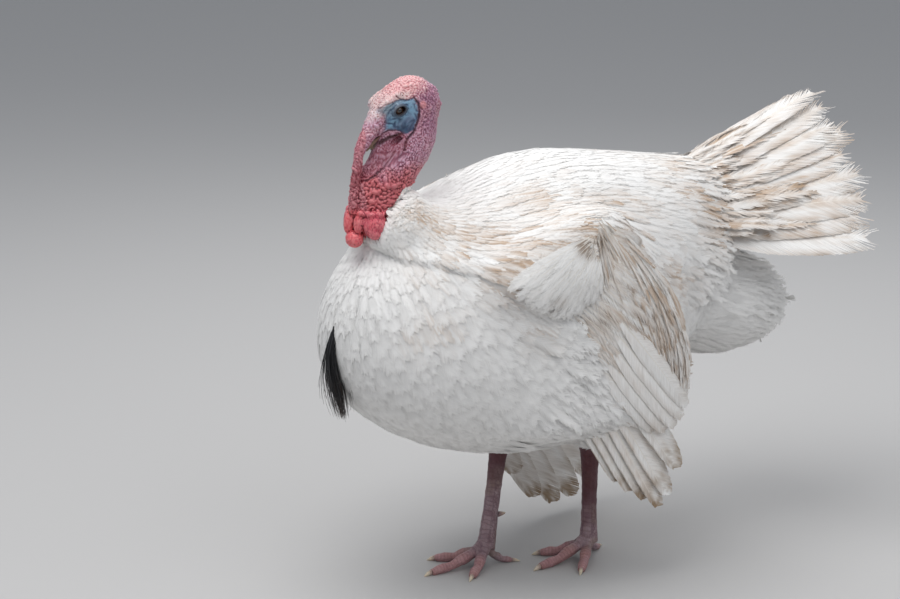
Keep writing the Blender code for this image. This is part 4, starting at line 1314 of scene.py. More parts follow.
def coat_plan(p):
    """Length, half width, spacing, fray, lift, looseness and roundness of the plumage at points of the body."""
    x, y, z = p.T
    plan = np.zeros((len(p), 7)) + (0.070, 0.0112, 0.0098, 0.34, 0.0002, 0.0, 3.4)
    side, from_collar = np.abs(x), np.linalg.norm(p - NECK_BASE, axis=1)
    vent = on_vent(p)
    hang, cover = skirt_over(p)
    hips = ramp(0.235 - z, 0.0, 0.03) * ramp(0.075 - np.abs(side - 0.055), 0.0, 0.02) * \
        ramp(0.11 - np.abs(y - 0.06), 0.0, 0.03)
    wing = ramp(side, 0.160, 0.180) * ramp(z, 0.43, 0.47) * ramp(0.14 - y, 0, 0.02)
    for share, *values in (
        (ramp(0.300 - z, 0.0, 0.06), None, 0.0135, 0.0114, 0.42, 0.0010, 0.05),  # belly
        (ramp(y, 0.16, 0.30), None, None, None, 0.60, 0.0014, 0.06),  # rump
        (ramp(z, 0.50, 0.56), 0.084, 0.0070, 0.0078, 0.50, 0.0004, 0.02, 2.2),  # mantle
        (wing, 0.066, 0.0070, 0.0072, 0.50, 0.0005, 0.03, 2.2),
        (wing_cover(p), 0.058, 0.0092, 0.0084, 0.78, 0.0036, 0.20),  # flank
        (vent, 0.066, 0.0084, 0.0066, 0.85, 0.0008, 0.10),
        (vent * ramp(y, 0.36, 0.44), 0.060, 0.0078, 0.0064, 0.92, 0.0034, 0.80),
        (ramp(y, 0.17, 0.24) * hang * (1 - vent), 0.088, 0.0092, 0.0078, 0.88, 0.0070, 1.00),  # skirt
        (ramp(y, 0.215, 0.275) * cover, 0.092, 0.0084, 0.0074, 0.78, 0.0046, 1.00),  # over the tail
        (hips, 0.030, 0.0070, 0.0072, 0.70, None, 0.0),
        (1 - ramp(from_collar, 0.035, 0.170), 0.024, 0.0052, 0.0042, 0.60, 0.0, 0.0),  # collar
        (1 - ramp(from_collar, 0.040, 0.090), 0.015, 0.0036, 0.0024, 0.40, 0.0, 0.0),
    ):
        for k, value in enumerate(values):
            if value is not None:
                plan[:, k] = mix(plan[:, k], value, share)
    return plan.T


def collar_edge(p):
    """Height of the line at which the feathers of the collar begin, on the sides of the neck."""
    return np.maximum(0.601 + 1.25 * (p[:, 1] + 0.2247), 0.597)


def bare_place(p):
    """Where the bare neck comes out of the coat."""
    share = neck_frame(p)[1]
    x, y, z = p.T
    inside = (share < 1.05) & (z > 0.575)
    front = (y < -0.240) & (z > 0.560) & (np.abs(x) < 0.038)
    return inside | front | ((share < 1.3) & (z > np.minimum(collar_edge(p), 0.634)))


def laid_spines(form, roots, normals, flow, length, stations, sink, rise, loose):
    """Spines that follow the form from under the coat at the root to its surface at the tip.

    A loose feather leaves the form and runs straight on.
    """
    heading = square_to(flow, normals)
    place, out = [roots], [normals]
    step = (length / (stations - 1))[:, None]
    way = heading
    for _ in range(stations - 1):
        spot, facing = form.nearest(place[-1] + way * step)
        way = square_to(way, facing)
        place.append(spot)
        out.append(facing)
    place, out = np.stack(place, axis=1), np.stack(out, axis=1)
    straight = roots[:, None] + heading[:, None] * step[:, None] * np.arange(stations)[None, :, None]
    t = np.linspace(0, 1, stations)[None, :]
    place = mix(place, straight, (loose[:, None] * t)[..., None])
    height = sink[:, None] + (rise - sink)[:, None] * t**0.85
    return place + out * height[..., None], out


COAT_PLACES, COLLAR_PLACES = 170000, 700000  # places tried over the body, and over it again for the collar


def body_coat(form, finish, rng):
    """Contour feathers over the whole body, in pieces."""
    place, normal = form.scatter(COAT_PLACES, rng)
    more, more_normal = form.scatter(COLLAR_PLACES, rng)
    near = np.linalg.norm(more - NECK_BASE, axis=1) < 0.095
    place, normal = np.concatenate((place, more[near])), np.concatenate((normal, more_normal[near]))
    free = ~bare_place(place)
    place, normal = place[free], normal[free]
    plan = coat_plan(place)
    kept = spread_points(place, plan[2], rng)
    kept = kept[np.argsort(place[kept, 1])]
    place, normal = place[kept], normal[kept]
    length, half, _, fray, lift, loose, ends = plan[:, kept]
    total = len(place)
    length = length * (0.80 + 0.40 * rng.random(total))
    half = half * (0.80 + 0.40 * rng.random(total))
    sink = np.where(length < 0.022, -0.0036, -(0.0017 + 0.6 * lift) * ramp(length, 0.012, 0.040))
    stray = (rng.random(total) < 0.022) * ramp(lift, 0.0005, 0.001)
    rise = 0.0003 + lift * rng.random(total) + stray * 0.003
    loose = np.clip(loose * (0.5 + rng.random(total)) + 0.30 * stray, 0, 1)
    fluff = 0.0003 + 0.45 * lift + 0.05 * half * ramp(lift, 0.0, 0.001)
    spine, out = laid_spines(form, place, normal, coat_flow(place), length, 6, sink, rise, loose)
    stain = stained(spine[:, 3])
    # Each feather's own random tone, darkened by painted shade under the fold of the mantle; then the share of painted
    # shade that broad feathers get where the next ones lie over them.
    shade = 0.03 * (rng.random(total) - 0.5) - 0.10 * mantle_fold(spine[:, 3])[1]
    overlap_shade = ramp(half, 0.0078, 0.0100)
    small = half < 0.0056
    for name, group, chunk in (("coat", np.flatnonzero(~small), 1500), ("collar", np.flatnonzero(small), 3400)):
        for k, first in enumerate(range(0, len(group), chunk)):
            part = group[first:first + chunk]
            plan = {**PLANS[name], "fray": fray[part], "lift": fluff[part], "round": ends[part]}
            built = vanes(spine[part], out[part], np.stack((half[part], half[part])), length[part], plan, rng)
            along, across, edge = built[2], built[3], built[5]
            colour = feather_colour(along, across, edge, stain[part], shade[part], overlap_shade[part], rng)
            fit(feather_object(f"{name}_{k + 1:02d}", built, finish, colour, place[part], 0.90), "plumage")
        print(name, len(group), "feathers,", k + 1, "pieces")


# ---------------------------------------------------------------- wings and tail

WING_LINES = {  # roots and tips of the rows of feathers: share of the way up the row, x, y, z
    "left": {
        "primaries": (
            ((0, 0.176, -0.060, 0.370), (1, 0.190, -0.010, 0.410)),
            ((0, 0.184, 0.066, 0.172), (0.2, 0.187, 0.086, 0.154), (0.45, 0.189, 0.118, 0.134),
             (0.65, 0.191, 0.143, 0.121), (0.85, 0.193, 0.154, 0.148), (1, 0.196, 0.164, 0.180)),
        ),
        "primary_coverts": (
            ((0, 0.198, -0.010, 0.365), (1, 0.202, 0.036, 0.440)),
            ((0, 0.201, 0.096, 0.262), (0.3, 0.203, 0.128, 0.246), (0.65, 0.205, 0.158, 0.252),
             (1, 0.206, 0.172, 0.280)),
        ),
        "secondaries": (
            ((0, 0.196, -0.060, 0.440), (0.5, 0.196, 0.000, 0.500), (1, 0.186, 0.040, 0.560)),
            ((0, 0.206, 0.150, 0.262), (0.25, 0.209, 0.176, 0.300), (0.5, 0.210, 0.176, 0.350),
             (0.75, 0.205, 0.146, 0.430), (1, 0.186, 0.090, 0.525)),
        ),
    },
    "right": {
        "primaries": (
            ((0, 0.165, -0.020, 0.310), (1, 0.185, 0.040, 0.370)),
            ((0, 0.146, 0.118, 0.088), (0.25, 0.150, 0.172, 0.030), (0.5, 0.154, 0.226, 0.020),
             (0.75, 0.160, 0.276, 0.036), (1, 0.170, 0.306, 0.120)),
        ),
        "primary_coverts": (
            ((0, 0.180, 0.010, 0.330), (1, 0.194, 0.060, 0.420)),
            ((0, 0.176, 0.130, 0.190), (0.5, 0.184, 0.205, 0.150), (1, 0.192, 0.250, 0.200)),
        ),
        "secondaries": (
            ((0, 0.194, -0.040, 0.410), (0.5, 0.196, 0.010, 0.480), (1, 0.186, 0.045, 0.555)),
            ((0, 0.196, 0.296, 0.170), (0.3, 0.206, 0.278, 0.255), (0.7, 0.204, 0.205, 0.390),
             (1, 0.186, 0.115, 0.518)),
        ),
    },
}


WORN = linear(134, 106, 70)  # dirty tips and edges of the flight feathers
SOIL = linear(128, 98, 66)
SHAFT = (0.85, 0.80, 0.72)
REPLACED = {  # the nodes that rows of flight feathers stand for
    "rectrices": ("tail_feathers",),
    **{f"{row}_{side}": (f"wing_{row}_{side}",) for row in ("primaries", "secondaries") for side, _ in SIDES},
}
SOILED = (  # spots on the wing: place, size and strength
    ((0.205, 0.012, 0.545), 0.013, 1.5), ((0.206, 0.006, 0.528), 0.006, 1.0), ((0.207, 0.016, 0.428), 0.013, 0.7),
    ((0.212, 0.082, 0.420), 0.015, 0.6), ((0.213, 0.064, 0.470), 0.012, 0.4),
)
TUFT_TIPS = (  # the edge of the white tuft of the shoulder
    (0, 0.200, -0.150, 0.505), (0.3, 0.203, -0.120, 0.474), (0.6, 0.205, -0.076, 0.449),
    (0.85, 0.206, -0.028, 0.452), (1, 0.206, 0.004, 0.470),
)
TUFT_RISE = 0.0055
PLUME_EDGES = (  # first and last plume at the wrist, at the bend and at the tips
    ((0.2035, 0.004, 0.546), (0.2020, 0.050, 0.560)),
    ((0.2060, -0.024, 0.424), (0.2290, 0.190, 0.427)),
    ((0.2060, 0.052, 0.352), (0.2120, 0.171, 0.294)),
)
TAIL_ROOT = (0.0, 0.300, 0.538)


def flight_spines(roots, tips, stations, outward, bow, layer):
    """Spines from roots to tips that bow outward, each lying over the one before by a layer."""
    t = np.linspace(0, 1, stations)[None, :, None]
    spine = roots[:, None] * (1 - t) + tips[:, None] * t
    spine = spine + np.asarray(bow) * 4 * t * (1 - t)
    out = out_from(spine, outward)
    return spine + out * (layer * np.arange(len(roots))[:, None, None]), out


def out_from(spine, outward):
    """The ways out at the stations of spines, square to them."""
    return square_to(np.broadcast_to(outward, spine.shape), unit(np.gradient(spine, axis=1)))


def flight_feathers(name, kind, spine, out, half, tint, finish, rng, quill, patch=0.02, **changes):
    """A row of large feathers with their shafts. tint gives the colour from along, across and edge."""
    reach = np.linalg.norm(np.diff(spine, axis=1), axis=-1).sum(axis=1)
    built = vanes(spine, out, half, reach, {**PLANS[kind], **changes}, rng)
    verts, _, along, across, _, edge, _ = built
    colour = tint(verts, along, across, edge, rng)
    piece = feather_object(name, built, finish, colour, spine[:, 0], 0.55, patch, (spine, out, quill))
    return fit(piece, "flight_feathers", *REPLACED.get(name, ()))


def worn_tint(dust, tip_brown, edge_brown, tip_from=0.84, uneven=0.3, share=1.0):
    """Tint for flight feathers: dusty, with brown worn tips and edges. uneven is how much feathers differ.

    share weakens the dust of each feather.
    """
    def tint(verts, along, across, edge, rng):
        flat = verts.reshape(-1, 3)
        broken = (0.5 + 0.7 * noise(flat, 0.020, 95) + 0.6 * noise(flat, 0.006, 97)).reshape(along.shape)
        number = np.broadcast_to(np.arange(len(along))[:, None], along.shape) * 7.3
        streak = 0.5 + 0.9 * streaks(along, across, number, 0.0022, 1.6, 99)
        own = (1 + uneven * (2 * rng.random((len(along), 1)) - 1)) * np.reshape(share, (-1, 1))
        amount = np.clip(dust * own * (0.35 + 0.6 * broken) * (0.35 + 1.1 * streak), 0, 0.92)
        tip = np.clip(tip_brown * ramp(along, tip_from, 1.04) * (0.4 + broken) * (0.6 + 0.7 * streak), 0, 0.9)
        rim = np.clip(edge_brown * ramp(edge, 0.72, 1.0) * ramp(along, 0.3, 0.8) * (0.3 + broken), 0, 0.85)
        colour = mix(np.broadcast_to(WHITE, (*along.shape, 3)), TAN, amount)
        colour = mix(colour, WORN, np.maximum(tip, rim))
        for place, size, strength in SOILED:
            spot = bell(np.linalg.norm(np.abs(flat) - place, axis=1), size).reshape(along.shape)
            colour = mix(colour, SOIL, np.clip(strength * spot * (0.3 + streak), 0, 0.8))
        return colour * (1 + 0.05 * (rng.random((len(along), 1, 1)) - 0.5))
    return tint


def build_wing(side, sign, form, finish, rng):
    """The flight feathers of a wing in rows, and the loose plumes and the tuft over them."""
    outward, bulge = np.array((sign, 0.12, -0.05)), np.array((0.008 * sign, 0, 0))
    flip = (sign, 1, 1)
    left = sign > 0

    def row(name, line, count, half, tint, bow, layer, lift, quill, shorten=False, **changes):
        share = np.linspace(0, 1, count)
        roots, tips = (smooth_through(keys)(share) * flip for keys in WING_LINES[side][line])
        if shorten:
            tips = roots + (tips - roots) * (0.62 + 0.20 * rng.random(count))[:, None]
        spine, out = flight_spines(roots, tips, 12, outward, bulge * bow, layer)
        half = np.stack(np.broadcast_arrays(*half, share)[:2])
        flight_feathers(f"{name}_{side}", name, spine + out * lift, out, half, tint, finish, rng, quill, **changes)

    wider = 1.0 if left else 1.25
    leading, trailing = wider * np.linspace(0.011, 0.015, 6), wider * np.linspace(0.030, 0.038, 6)
    row("primaries", "primaries", 6, (trailing, leading) if left else (leading, trailing),
        worn_tint(0.30, 0.95, 0.60, 0.80) if left else worn_tint(0.18, 0.75, 0.45, 0.76), 0.6, 0.0014, 0.0, 0.0016)
    row("secondaries", "secondaries", 12, (0.0200, 0.0200), worn_tint(0.40, 0.45, 0.50), 1.0, 0.0006, 0.001, 0.0007,
        tip_fray=0.3 if left else 0.1)
    row("primary_coverts", "primary_coverts", 6, (0.0195, 0.0195), worn_tint(0.16, 0.30, 0.30), 0.8, 0.0014, 0.0040,
        0.0008)
    row("greater_coverts", "secondaries", 24, (0.0105, 0.0105), worn_tint(0.50, 0.30, 0.30, uneven=0.6), 1.0, 0.0003,
        0.004, 0.0008, shorten=True)

    # Loose narrow plumes that stream from the wrist over the coverts and down the edge of the wing.
    count = 900 if left else 300
    across, along = rng.random(count) ** 0.72, rng.random(count) ** 0.75
    span = 0.24 + 0.20 * rng.random(count)
    high, turn, low = (mix(np.array(a) * flip, np.array(b) * flip, across)[:, None] for a, b in PLUME_EDGES)
    climb = np.linspace(0, 1, 9)[None, :, None]
    t = (-0.08 + (1.12 - span) * along)[:, None, None] + span[:, None, None] * climb
    spine = high * (1 - t) ** 2 + turn * 2 * t * (1 - t) + low * t**2
    wander = 0.010 * (rng.random((count, 1, 3)) - 0.5) * np.linspace(-1, 1, 9)[None, :, None] * (0.4, 1, 1)
    spine = spine + 0.006 * (rng.random((count, 1, 3)) - 0.5) * (0.4, 1, 1) + wander
    out = out_from(spine, outward)
    spine = spine + out * (-0.0040 * (1 - climb) ** 2 + 0.0015 * climb + 0.0028 * rng.random((count, 1, 1)))
    half = np.full((2, count), 0.0042) * (0.6 + 0.8 * rng.random(count))
    whiter = 1 - 0.75 * (1 - ramp(across, 0.05, 0.45)) * (0.4 + 0.6 * rng.random(count))
    flight_feathers(f"plumes_{side}", "plumes", spine, out, half, worn_tint(0.66, 0.30, 0.22, uneven=0.8, share=whiter),
                    finish, rng, 0.0004, 0.004)

    # The white tuft that spreads forward and down from the wrist over the shoulder.
    count = 210
    fan, from_root = rng.random(count), 0.55 * rng.random(count) ** 1.2
    tip = smooth_through(TUFT_TIPS)(fan) * flip
    root = mix(np.array((0.204, 0.000, 0.560)), np.array((0.205, 0.012, 0.520)), fan) * flip
    root = root + 0.010 * (rng.random((count, 3)) - 0.5)
    ends = np.minimum(from_root + 0.42 + 0.16 * rng.random(count), 0.94 + 0.08 * rng.random(count))
    at = from_root[:, None] + (ends - from_root)[:, None] * np.linspace(0, 1, 9)
    place, out = form.nearest(root[:, None] + (tip - root)[:, None] * at[..., None])
    rise = TUFT_RISE * ramp(at, 0.0, 0.5) + 0.003 * rng.random((count, 1))
    half = np.full((2, count), 0.0084) * (0.7 + 0.6 * rng.random(count))
    flight_feathers(f"tuft_{side}", "tuft", place + out * rise[..., None], out, half, worn_tint(0.04, 0.03, 0.03),
                    finish, rng, 0.0004, 0.004)


def build_tail(finish, rng):
    """Eighteen broad tail feathers and the coverts over and under their roots."""
    def row(name, count, reach, half, tint, lift, quill, widen=1.0, stray=0.0, ragged=0.08, **changes):
        share = np.linspace(-1, 1, count)
        lean = share + stray * (rng.random(count) - 0.5)
        turn = math.radians(33) * lean * widen
        climb = math.radians(27) + math.radians(-32) * np.abs(lean) ** 1.3
        ahead = np.stack((np.sin(turn) * np.cos(climb), np.cos(turn) * np.cos(climb), np.sin(climb)), axis=1)
        root = TAIL_ROOT + np.stack((0.045 * share, 0 * share, -0.040 * share**2), axis=1)
        length = reach * (0.358 - 0.048 * np.abs(share)) * (1.02 - ragged + 1.2 * ragged * rng.random(count))
        across = unit(np.gradient(root + ahead * 0.2, axis=0))
        up = unit(np.cross(across, ahead))
        up = up * np.sign(up[:, 2:3] + 1e-9)
        t = np.linspace(0, 1, 14)[None, :, None]
        middle, share = (1 - np.abs(share))[:, None, None], share[:, None, None]
        layer = 0.0011 * middle * count / 2
        out = unit(up[:, None] - np.sign(share) * across[:, None] * 0.10)
        out = np.broadcast_to(out, (count, t.size, 3))
        arch = 0.016 * np.sin(t * math.pi) * middle
        bend = (0.010 * (rng.random((count, 1, 1)) - 0.5) - 0.006 * share) * t**2
        wave = 0.0022 * np.sin(t * 9 + 6 * rng.random((count, 1, 1))) * t
        spine = root[:, None] + ahead[:, None] * t * length[:, None, None] + across[:, None] * bend
        spine = spine + out * (lift * (1 - 0.55 * t) + layer * 0.5 * (1 - t) + arch + wave)
        wide = np.full((2, count), half) * (0.88 + 0.24 * rng.random((1, count)))
        kind = name if name in PLANS else "tail_coverts"
        flight_feathers(name, kind, spine, out, wide, tint, finish, rng, quill, **changes)

    row("rectrices", 18, 0.930, 0.0350, worn_tint(0.48, 0.20, 0.45), 0.0, 0.0016, 1.0, 0.05)
    row("tail_coverts_long", 46, 0.66, 0.0120, worn_tint(0.72, 0.40, 0.30, uneven=0.5), 0.012, 0.0006, 1.0, 0.12, 0.40)
    row("tail_coverts_short", 54, 0.46, 0.0110, worn_tint(0.70, 0.45, 0.30, uneven=0.5), 0.022, 0.0005, 1.12, 0.14,
        0.40, fray=0.66)
    row("undertail_coverts", 30, 0.46, 0.0150, worn_tint(0.15, 0.10, 0.05), -0.016, 0.0006, 0.9, 0.10, fray=0.80)


# ---------------------------------------------------------------- skin, legs and hard parts


CLAY_STEP = 0.0009  # of the grid on which the bare parts are modelled
BARE_TRIANGLES = 160000
UNDER_VOXEL, FORM_VOXEL = 0.0085, 0.0070  # of the body under the coat, and of the form that the coat follows
DOWN = (0.88, 0.86, 0.83)


def build_skin(rng):
    """One surface: the bare head and neck, and the body under the coat."""
    clay = model_bare_parts(CLAY_STEP)
    add_nodules(clay, rng)
    clay.close_corners()
    verts, faces = decimated(*largest_island(*clay.mesh()), BARE_TRIANGLES)
    verts = verts - point_normals(verts, faces) * skin_relief(verts)[0][:, None]
    under = merged(BODY, UNDER_VOXEL, COAT_DEPTH, 3)
    head = mesh_object("head", verts, faces, None)
    body = mesh_object("body", *under, None)
    join = head.modifiers.new("join", "BOOLEAN")
    join.operation, join.solver, join.object = "UNION", "EXACT", body
    joined = head.evaluated_get(bpy.context.evaluated_depsgraph_get()).to_mesh()
    verts, faces = taken_apart(head, joined)
    bpy.data.objects.remove(body)
    edges, degree = neighbours_of(faces, len(verts))
    mean = verts
    for _ in range(3):
        mean = around(mean, edges, degree)
    stand = ((verts - mean) * point_normals(verts, faces)).sum(axis=1)
    bare = paint_bare_skin(verts, stand, skin_relief(verts)[1])
    down = mix(DOWN, TAN, 0.8 * stained(verts))
    _, share, angle = neck_frame(verts)
    x, y, z = verts.T
    behind = (share > 1.09 + 0.23 * ramp(z, 0.616, 0.628)) & (z < 0.672) & (y > -0.236) & \
        ((np.cos(angle) < 0.3) | (z < 0.612)) & (z < collar_edge(verts))
    beside = (y <= -0.236) & (z < 0.600) & (np.abs(x) > 0.047)
    lobe = np.linalg.norm((verts - FRONT_LOBES[2][0]) / (0.0146, 0.0166, 0.0141), axis=1) < 1.08
    colour = mix(bare, down, np.where(((z < 0.552) | behind | beside) & ~lobe, 1.0, 0.0))
    skin = mesh_object("skin", verts, faces, bare_skin_finish(), {"tint": colour})
    print("skin", len(skin.data.polygons))
    return fit(skin, "bare_skin", "trunk", "neck_cape", "vent_fluff", "head", "neck", "snood", "caruncle_front",
               "caruncle_left", "caruncle_right", "thigh_left", "thigh_right", "wing_arm_left", "wing_arm_right")


LEGS = {  # hock, pad and heading
    "left": ((0.052, 0.122, 0.186), (0.040, 0.131, 0.024), math.radians(4)),
    "right": ((-0.052, 0.026, 0.186), (-0.024, -0.020, 0.024), math.radians(-2)),
}
SOLE = 0.0002  # feet and claws rest this far over the floor
TOES = (("inner", -40), ("middle", 0), ("outer", 40), ("hind", 205))


def stripes(count, width):
    """1 on the grooves at whole counts, falling to nothing beside them."""
    return bell(np.abs((count + 0.5) % 1.0 - 0.5), width)


def build_leg(side, sign, finish):
    """Shank and toes in one scaly skin."""
    hock, pad, heading = LEGS[side]
    hock, pad = np.array(hock), np.array(pad)
    names = [f"shank_{side}"] + [f"toe_{toe}_{side}" for toe, _ in TOES]
    verts, faces = merged(names, 0.0013, 0.0003, 3)
    normals = point_normals(verts, faces)
    ahead = np.array((math.sin(heading), -math.cos(heading), 0.0))
    left = np.array((math.cos(heading), math.sin(heading), 0.0))

    # The shank: large plates in front and small cells behind.
    axis = (pad - hock) / np.linalg.norm(pad - hock)
    down = (verts - hock) @ axis
    away = verts - hock - down[:, None] * axis
    angle = np.arctan2(away @ left, away @ ahead)
    plate = np.where(angle > 0, 0.5, 0.0) + down / 0.0072 + 0.38 * noise(verts, 0.013, 101)
    plate = plate + 0.10 * noise(verts, 0.004, 102)
    seam = np.maximum(stripes(plate, 0.085), bell(angle, 0.10))
    seam = np.maximum(seam, bell(np.abs(angle) - 1.25, 0.10))
    first, second, number = cells(verts * (1, 1, 0.75), 0.0042, 103)
    front = np.abs(angle) < 1.25
    shank = np.where(front, seam, 1 - ramp(second - first, 0.0, 0.25))

    # The toes: bars over the top and pebbles beneath.
    flat = verts[:, :2] - pad[:2]
    reach = np.hypot(*flat.T)
    own = np.arctan2(flat @ left[:2], flat @ ahead[:2]) * sign
    turns = [np.abs((own - math.radians(a) + math.pi) % (2 * math.pi) - math.pi) for _, a in TOES]
    bar = stripes(reach / 0.0052 + 0.3 * np.argmin(turns, axis=0) + 0.12 * noise(verts, 0.010, 105), 0.12)
    toe = np.where(normals[:, 2] > 0.25, bar, seams(verts, 0.0030, 107, 0.0, 0.25))

    leg = verts[:, 2] > 0.040
    groove = np.where(leg, shank, toe)
    depth = np.where(leg, 0.00034, 0.00026) * groove * (0.65 + 0.7 * noise(verts, 0.014, 110))
    free = (verts[:, 2] > 0.0012)[:, None]
    verts = verts - normals * depth[:, None] * free
    verts = verts + normals * (0.0006 * noise(verts, 0.009, 109) + 0.0003 * noise(verts, 0.004, 108))[:, None] * free
    verts[:, 2] = np.maximum(verts[:, 2], SOLE)
    z = verts[:, 2]
    tone = 0.5 + 0.5 * noise(verts, 0.010, 111)
    plates = np.where(leg & front, lattice(np.stack((np.floor(plate), angle > 0, plate * 0), 1), 113), number)
    bare = (0.040, 0.120) if side == "left" else (0.100, 0.168)  # the heights over which the red shank turns pale
    bare = ramp(z + 0.016 * noise(verts, 0.012, 114), *bare)
    colour = mix(linear(138, 112, 120), linear(186, 166, 168), np.clip(0.6 * tone + 0.4 * (plates - 0.3), 0, 1))
    for shade, share in (
        ((142, 124, 112), 0.5 * ramp(noise(verts, 0.022, 112), 0.0, 0.5)),
        ((84, 36, 42), bare * (0.80 + 0.20 * tone)),
        ((200, 148, 146), 0.62 * ramp(reach, 0.018, 0.045) * ramp(0.035 - z, 0.0, 0.015)),
        ((92, 62, 70), np.where(leg, 0.50, 0.34) * groove),
    ):
        colour = mix(colour, linear(*shade), share)
    piece = mesh_object(f"leg_{side}", verts, faces, finish, {"tint": colour})
    print("leg", len(piece.data.polygons))
    fit(piece, "leg_skin", *names)


def build_horn(finish):
    """Claws, spurs and bill."""
    def horn(name, verts, faces, colour):
        fit(mesh_object(name + "_horn", verts, faces, finish, {"tint": colour}), "horn", name)

    for side, _ in SIDES:
        for toe, _ in TOES:
            name = f"claw_{toe}_{side}"
            verts, faces = merged([name], 0.0006, 0.0, 3)
            reach = np.hypot(*(verts[:, :2] - LEGS[side][1][:2]).T)
            t = (reach - reach.min()) / (reach.max() - reach.min())
            colour = mix(linear(186, 160, 150), linear(232, 218, 194), ramp(t, 0.15, 0.6))
            colour = colour * (0.92 + 0.10 * noise(verts, 0.004, 121))[:, None]
            verts[:, 2] = np.maximum(verts[:, 2], SOLE)
            horn(name, verts, faces, colour)
        name = f"spur_{side}"
        verts, faces = merged([name], 0.0007, 0.0, 3)
        tip = ramp(verts[:, 1], verts[:, 1].min(), verts[:, 1].max())
        horn(name, verts, faces, mix(linear(140, 112, 118), linear(214, 196, 176), tip))
    for name in ("bill_upper", "bill_lower"):
        verts, faces = merged([name], 0.0006, 0.0002, 4)
        f, _, u = head_place(verts).T
        edge = np.abs(u - (-0.0100 - 0.006 * ((f - 0.046) / 0.040) ** 2))  # away from the line of the mouth
        slot = 0 * f
        if name == "bill_upper":  # the nostrils
            slot = bell(np.hypot((f - 0.0640) / 0.0042, (u + 0.0015) / 0.0014), 1.0)
        sink = 0.00035 * bell(edge - 0.0022, 0.0008) + 0.0016 * slot
        verts = verts - point_normals(verts, faces) * sink[:, None]
        colour = mix(linear(128, 92, 84), linear(150, 130, 106), ramp(f, 0.060, 0.086))
        colour = mix(colour, linear(196, 176, 158), 0.7 * bell(edge, 0.0011))
        colour = mix(colour, linear(120, 64, 68), 0.6 * (1 - ramp(f, 0.056, 0.066)))
        # The nostrils are sunk in and darkened with painted shade.
        horn(name, verts, faces, mix(colour, linear(40, 18, 18), np.clip(1.2 * slot, 0, 1)))


def build_eyes():
    """Two clear dark balls, a little fuller over the pupil."""
    eye = Finish("eye", Roughness=0.12, Specular_IOR_Level=0.6, Coat_Weight=1.0, Coat_Roughness=0.03)
    made = eye.done(eye.tint())
    rows, columns = 60, 64
    turn, tip = np.meshgrid(np.linspace(0, 2 * math.pi, columns, endpoint=False),
                            np.linspace(0.001, math.pi - 0.001, rows))
    turn, tip = turn.ravel(), tip.ravel()
    ball = np.stack((np.sin(tip) * np.cos(turn), np.cos(tip), np.sin(tip) * np.sin(turn)), -1)
    ball = ball * (1 + 0.04 * bell(tip, 0.45))[:, None] * EYE_RADIUS
    rays = 0.5 + 0.5 * noise(np.stack((np.cos(turn) * 6, np.sin(turn) * 6, tip), 1), 0.5, 131)
    colour = mix(linear(6, 5, 6), mix(linear(58, 34, 22), linear(92, 58, 36), rays), ramp(tip, 0.36, 0.40))
    colour = mix(colour, linear(34, 24, 22), ramp(tip, 0.82, 0.92))
    faces = grid_faces(rows, columns, closed=True)
    for side, sign in SIDES:
        verts = in_head(EYE_PLACE[0], EYE_PLACE[1] * sign, EYE_PLACE[2]) + (ball * (1, sign, 1)) @ HEAD
        piece = mesh_object(f"eyeball_{side}", verts, faces[:, ::sign], made, {"tint": colour})
        fit(piece, "eye", f"eye_{side}")


BEARD_KEYS = (  # share of the way down, y, z, radius
    (0.0, -0.3055, 0.428, 0.0050),
    (0.25, -0.3135, 0.392, 0.0090),
    (0.6, -0.3090, 0.344, 0.0120),
    (0.85, -0.3010, 0.308, 0.0105),
    (1.0, -0.2960, 0.288, 0.0080),
)


def build_beard(rng):
    """Coarse black bristles in one hank, some of them straying."""
    bristle = Finish("bristle", Roughness=0.34, Specular_IOR_Level=0.5)
    made = bristle.done(bristle.tint())
    count, stations, sides = 420, 9, 3
    t = np.linspace(0, 1, stations)
    turn = 2 * math.pi * rng.random(count)
    out = np.sqrt(rng.random(count))
    end = 0.56 + 0.46 * rng.random(count) ** 0.7
    stray = (rng.random(count) < 0.22) * (0.3 + 0.8 * rng.random(count))
    line = smooth_through(BEARD_KEYS)(np.clip(t[None] * end[:, None], 0, 1))
    spread = out[:, None] * line[..., 2] * 0.95 * (1 + stray[:, None] * t[None] * 1.6)
    lane = np.stack(np.broadcast_arrays(t[None] * 3, turn[:, None], out[:, None] * 4), -1)
    sway = 0.0034 * np.stack([noise(lane, 1.0, 141 + k) for k in range(2)], -1)
    centre = np.stack((0.003 + np.cos(turn)[:, None] * spread * 0.95 + sway[..., 0] * t * 2,
                       line[..., 0] + np.sin(turn)[:, None] * spread + sway[..., 1] * t,
                       line[..., 1]), axis=-1)
    radius = 0.00045 * (1 - 0.55 * t)[None, :, None] * (0.8 + 0.4 * rng.random((count, 1, 1)))
    corner = np.arange(sides) / sides * 2 * math.pi
    ring = np.stack((np.cos(corner), np.sin(corner), 0 * corner), -1)
    verts = centre[:, :, None] + ring * radius[..., None]
    faces = repeated(grid_faces(stations, sides, closed=True), count, stations * sides)
    tone = linear(24, 23, 26) + 0.060 * rng.random((count, 1)) ** 3
    colour = mix(tone[:, None, :], linear(96, 70, 46), ramp(t, 0.75, 1.0)[None, :] * 0.5 * rng.random((count, 1)))
    colour = np.broadcast_to(colour[:, :, None, :], verts.shape).reshape(-1, 3)
    fit(mesh_object("bristles", verts.reshape(-1, 3), faces, made, {"tint": colour}), "beard", "beard")


# ---------------------------------------------------------------- floor, light and camera

AZIMUTH, ELEVATION = math.radians(55), math.radians(14)
DISTANCE = 3.76


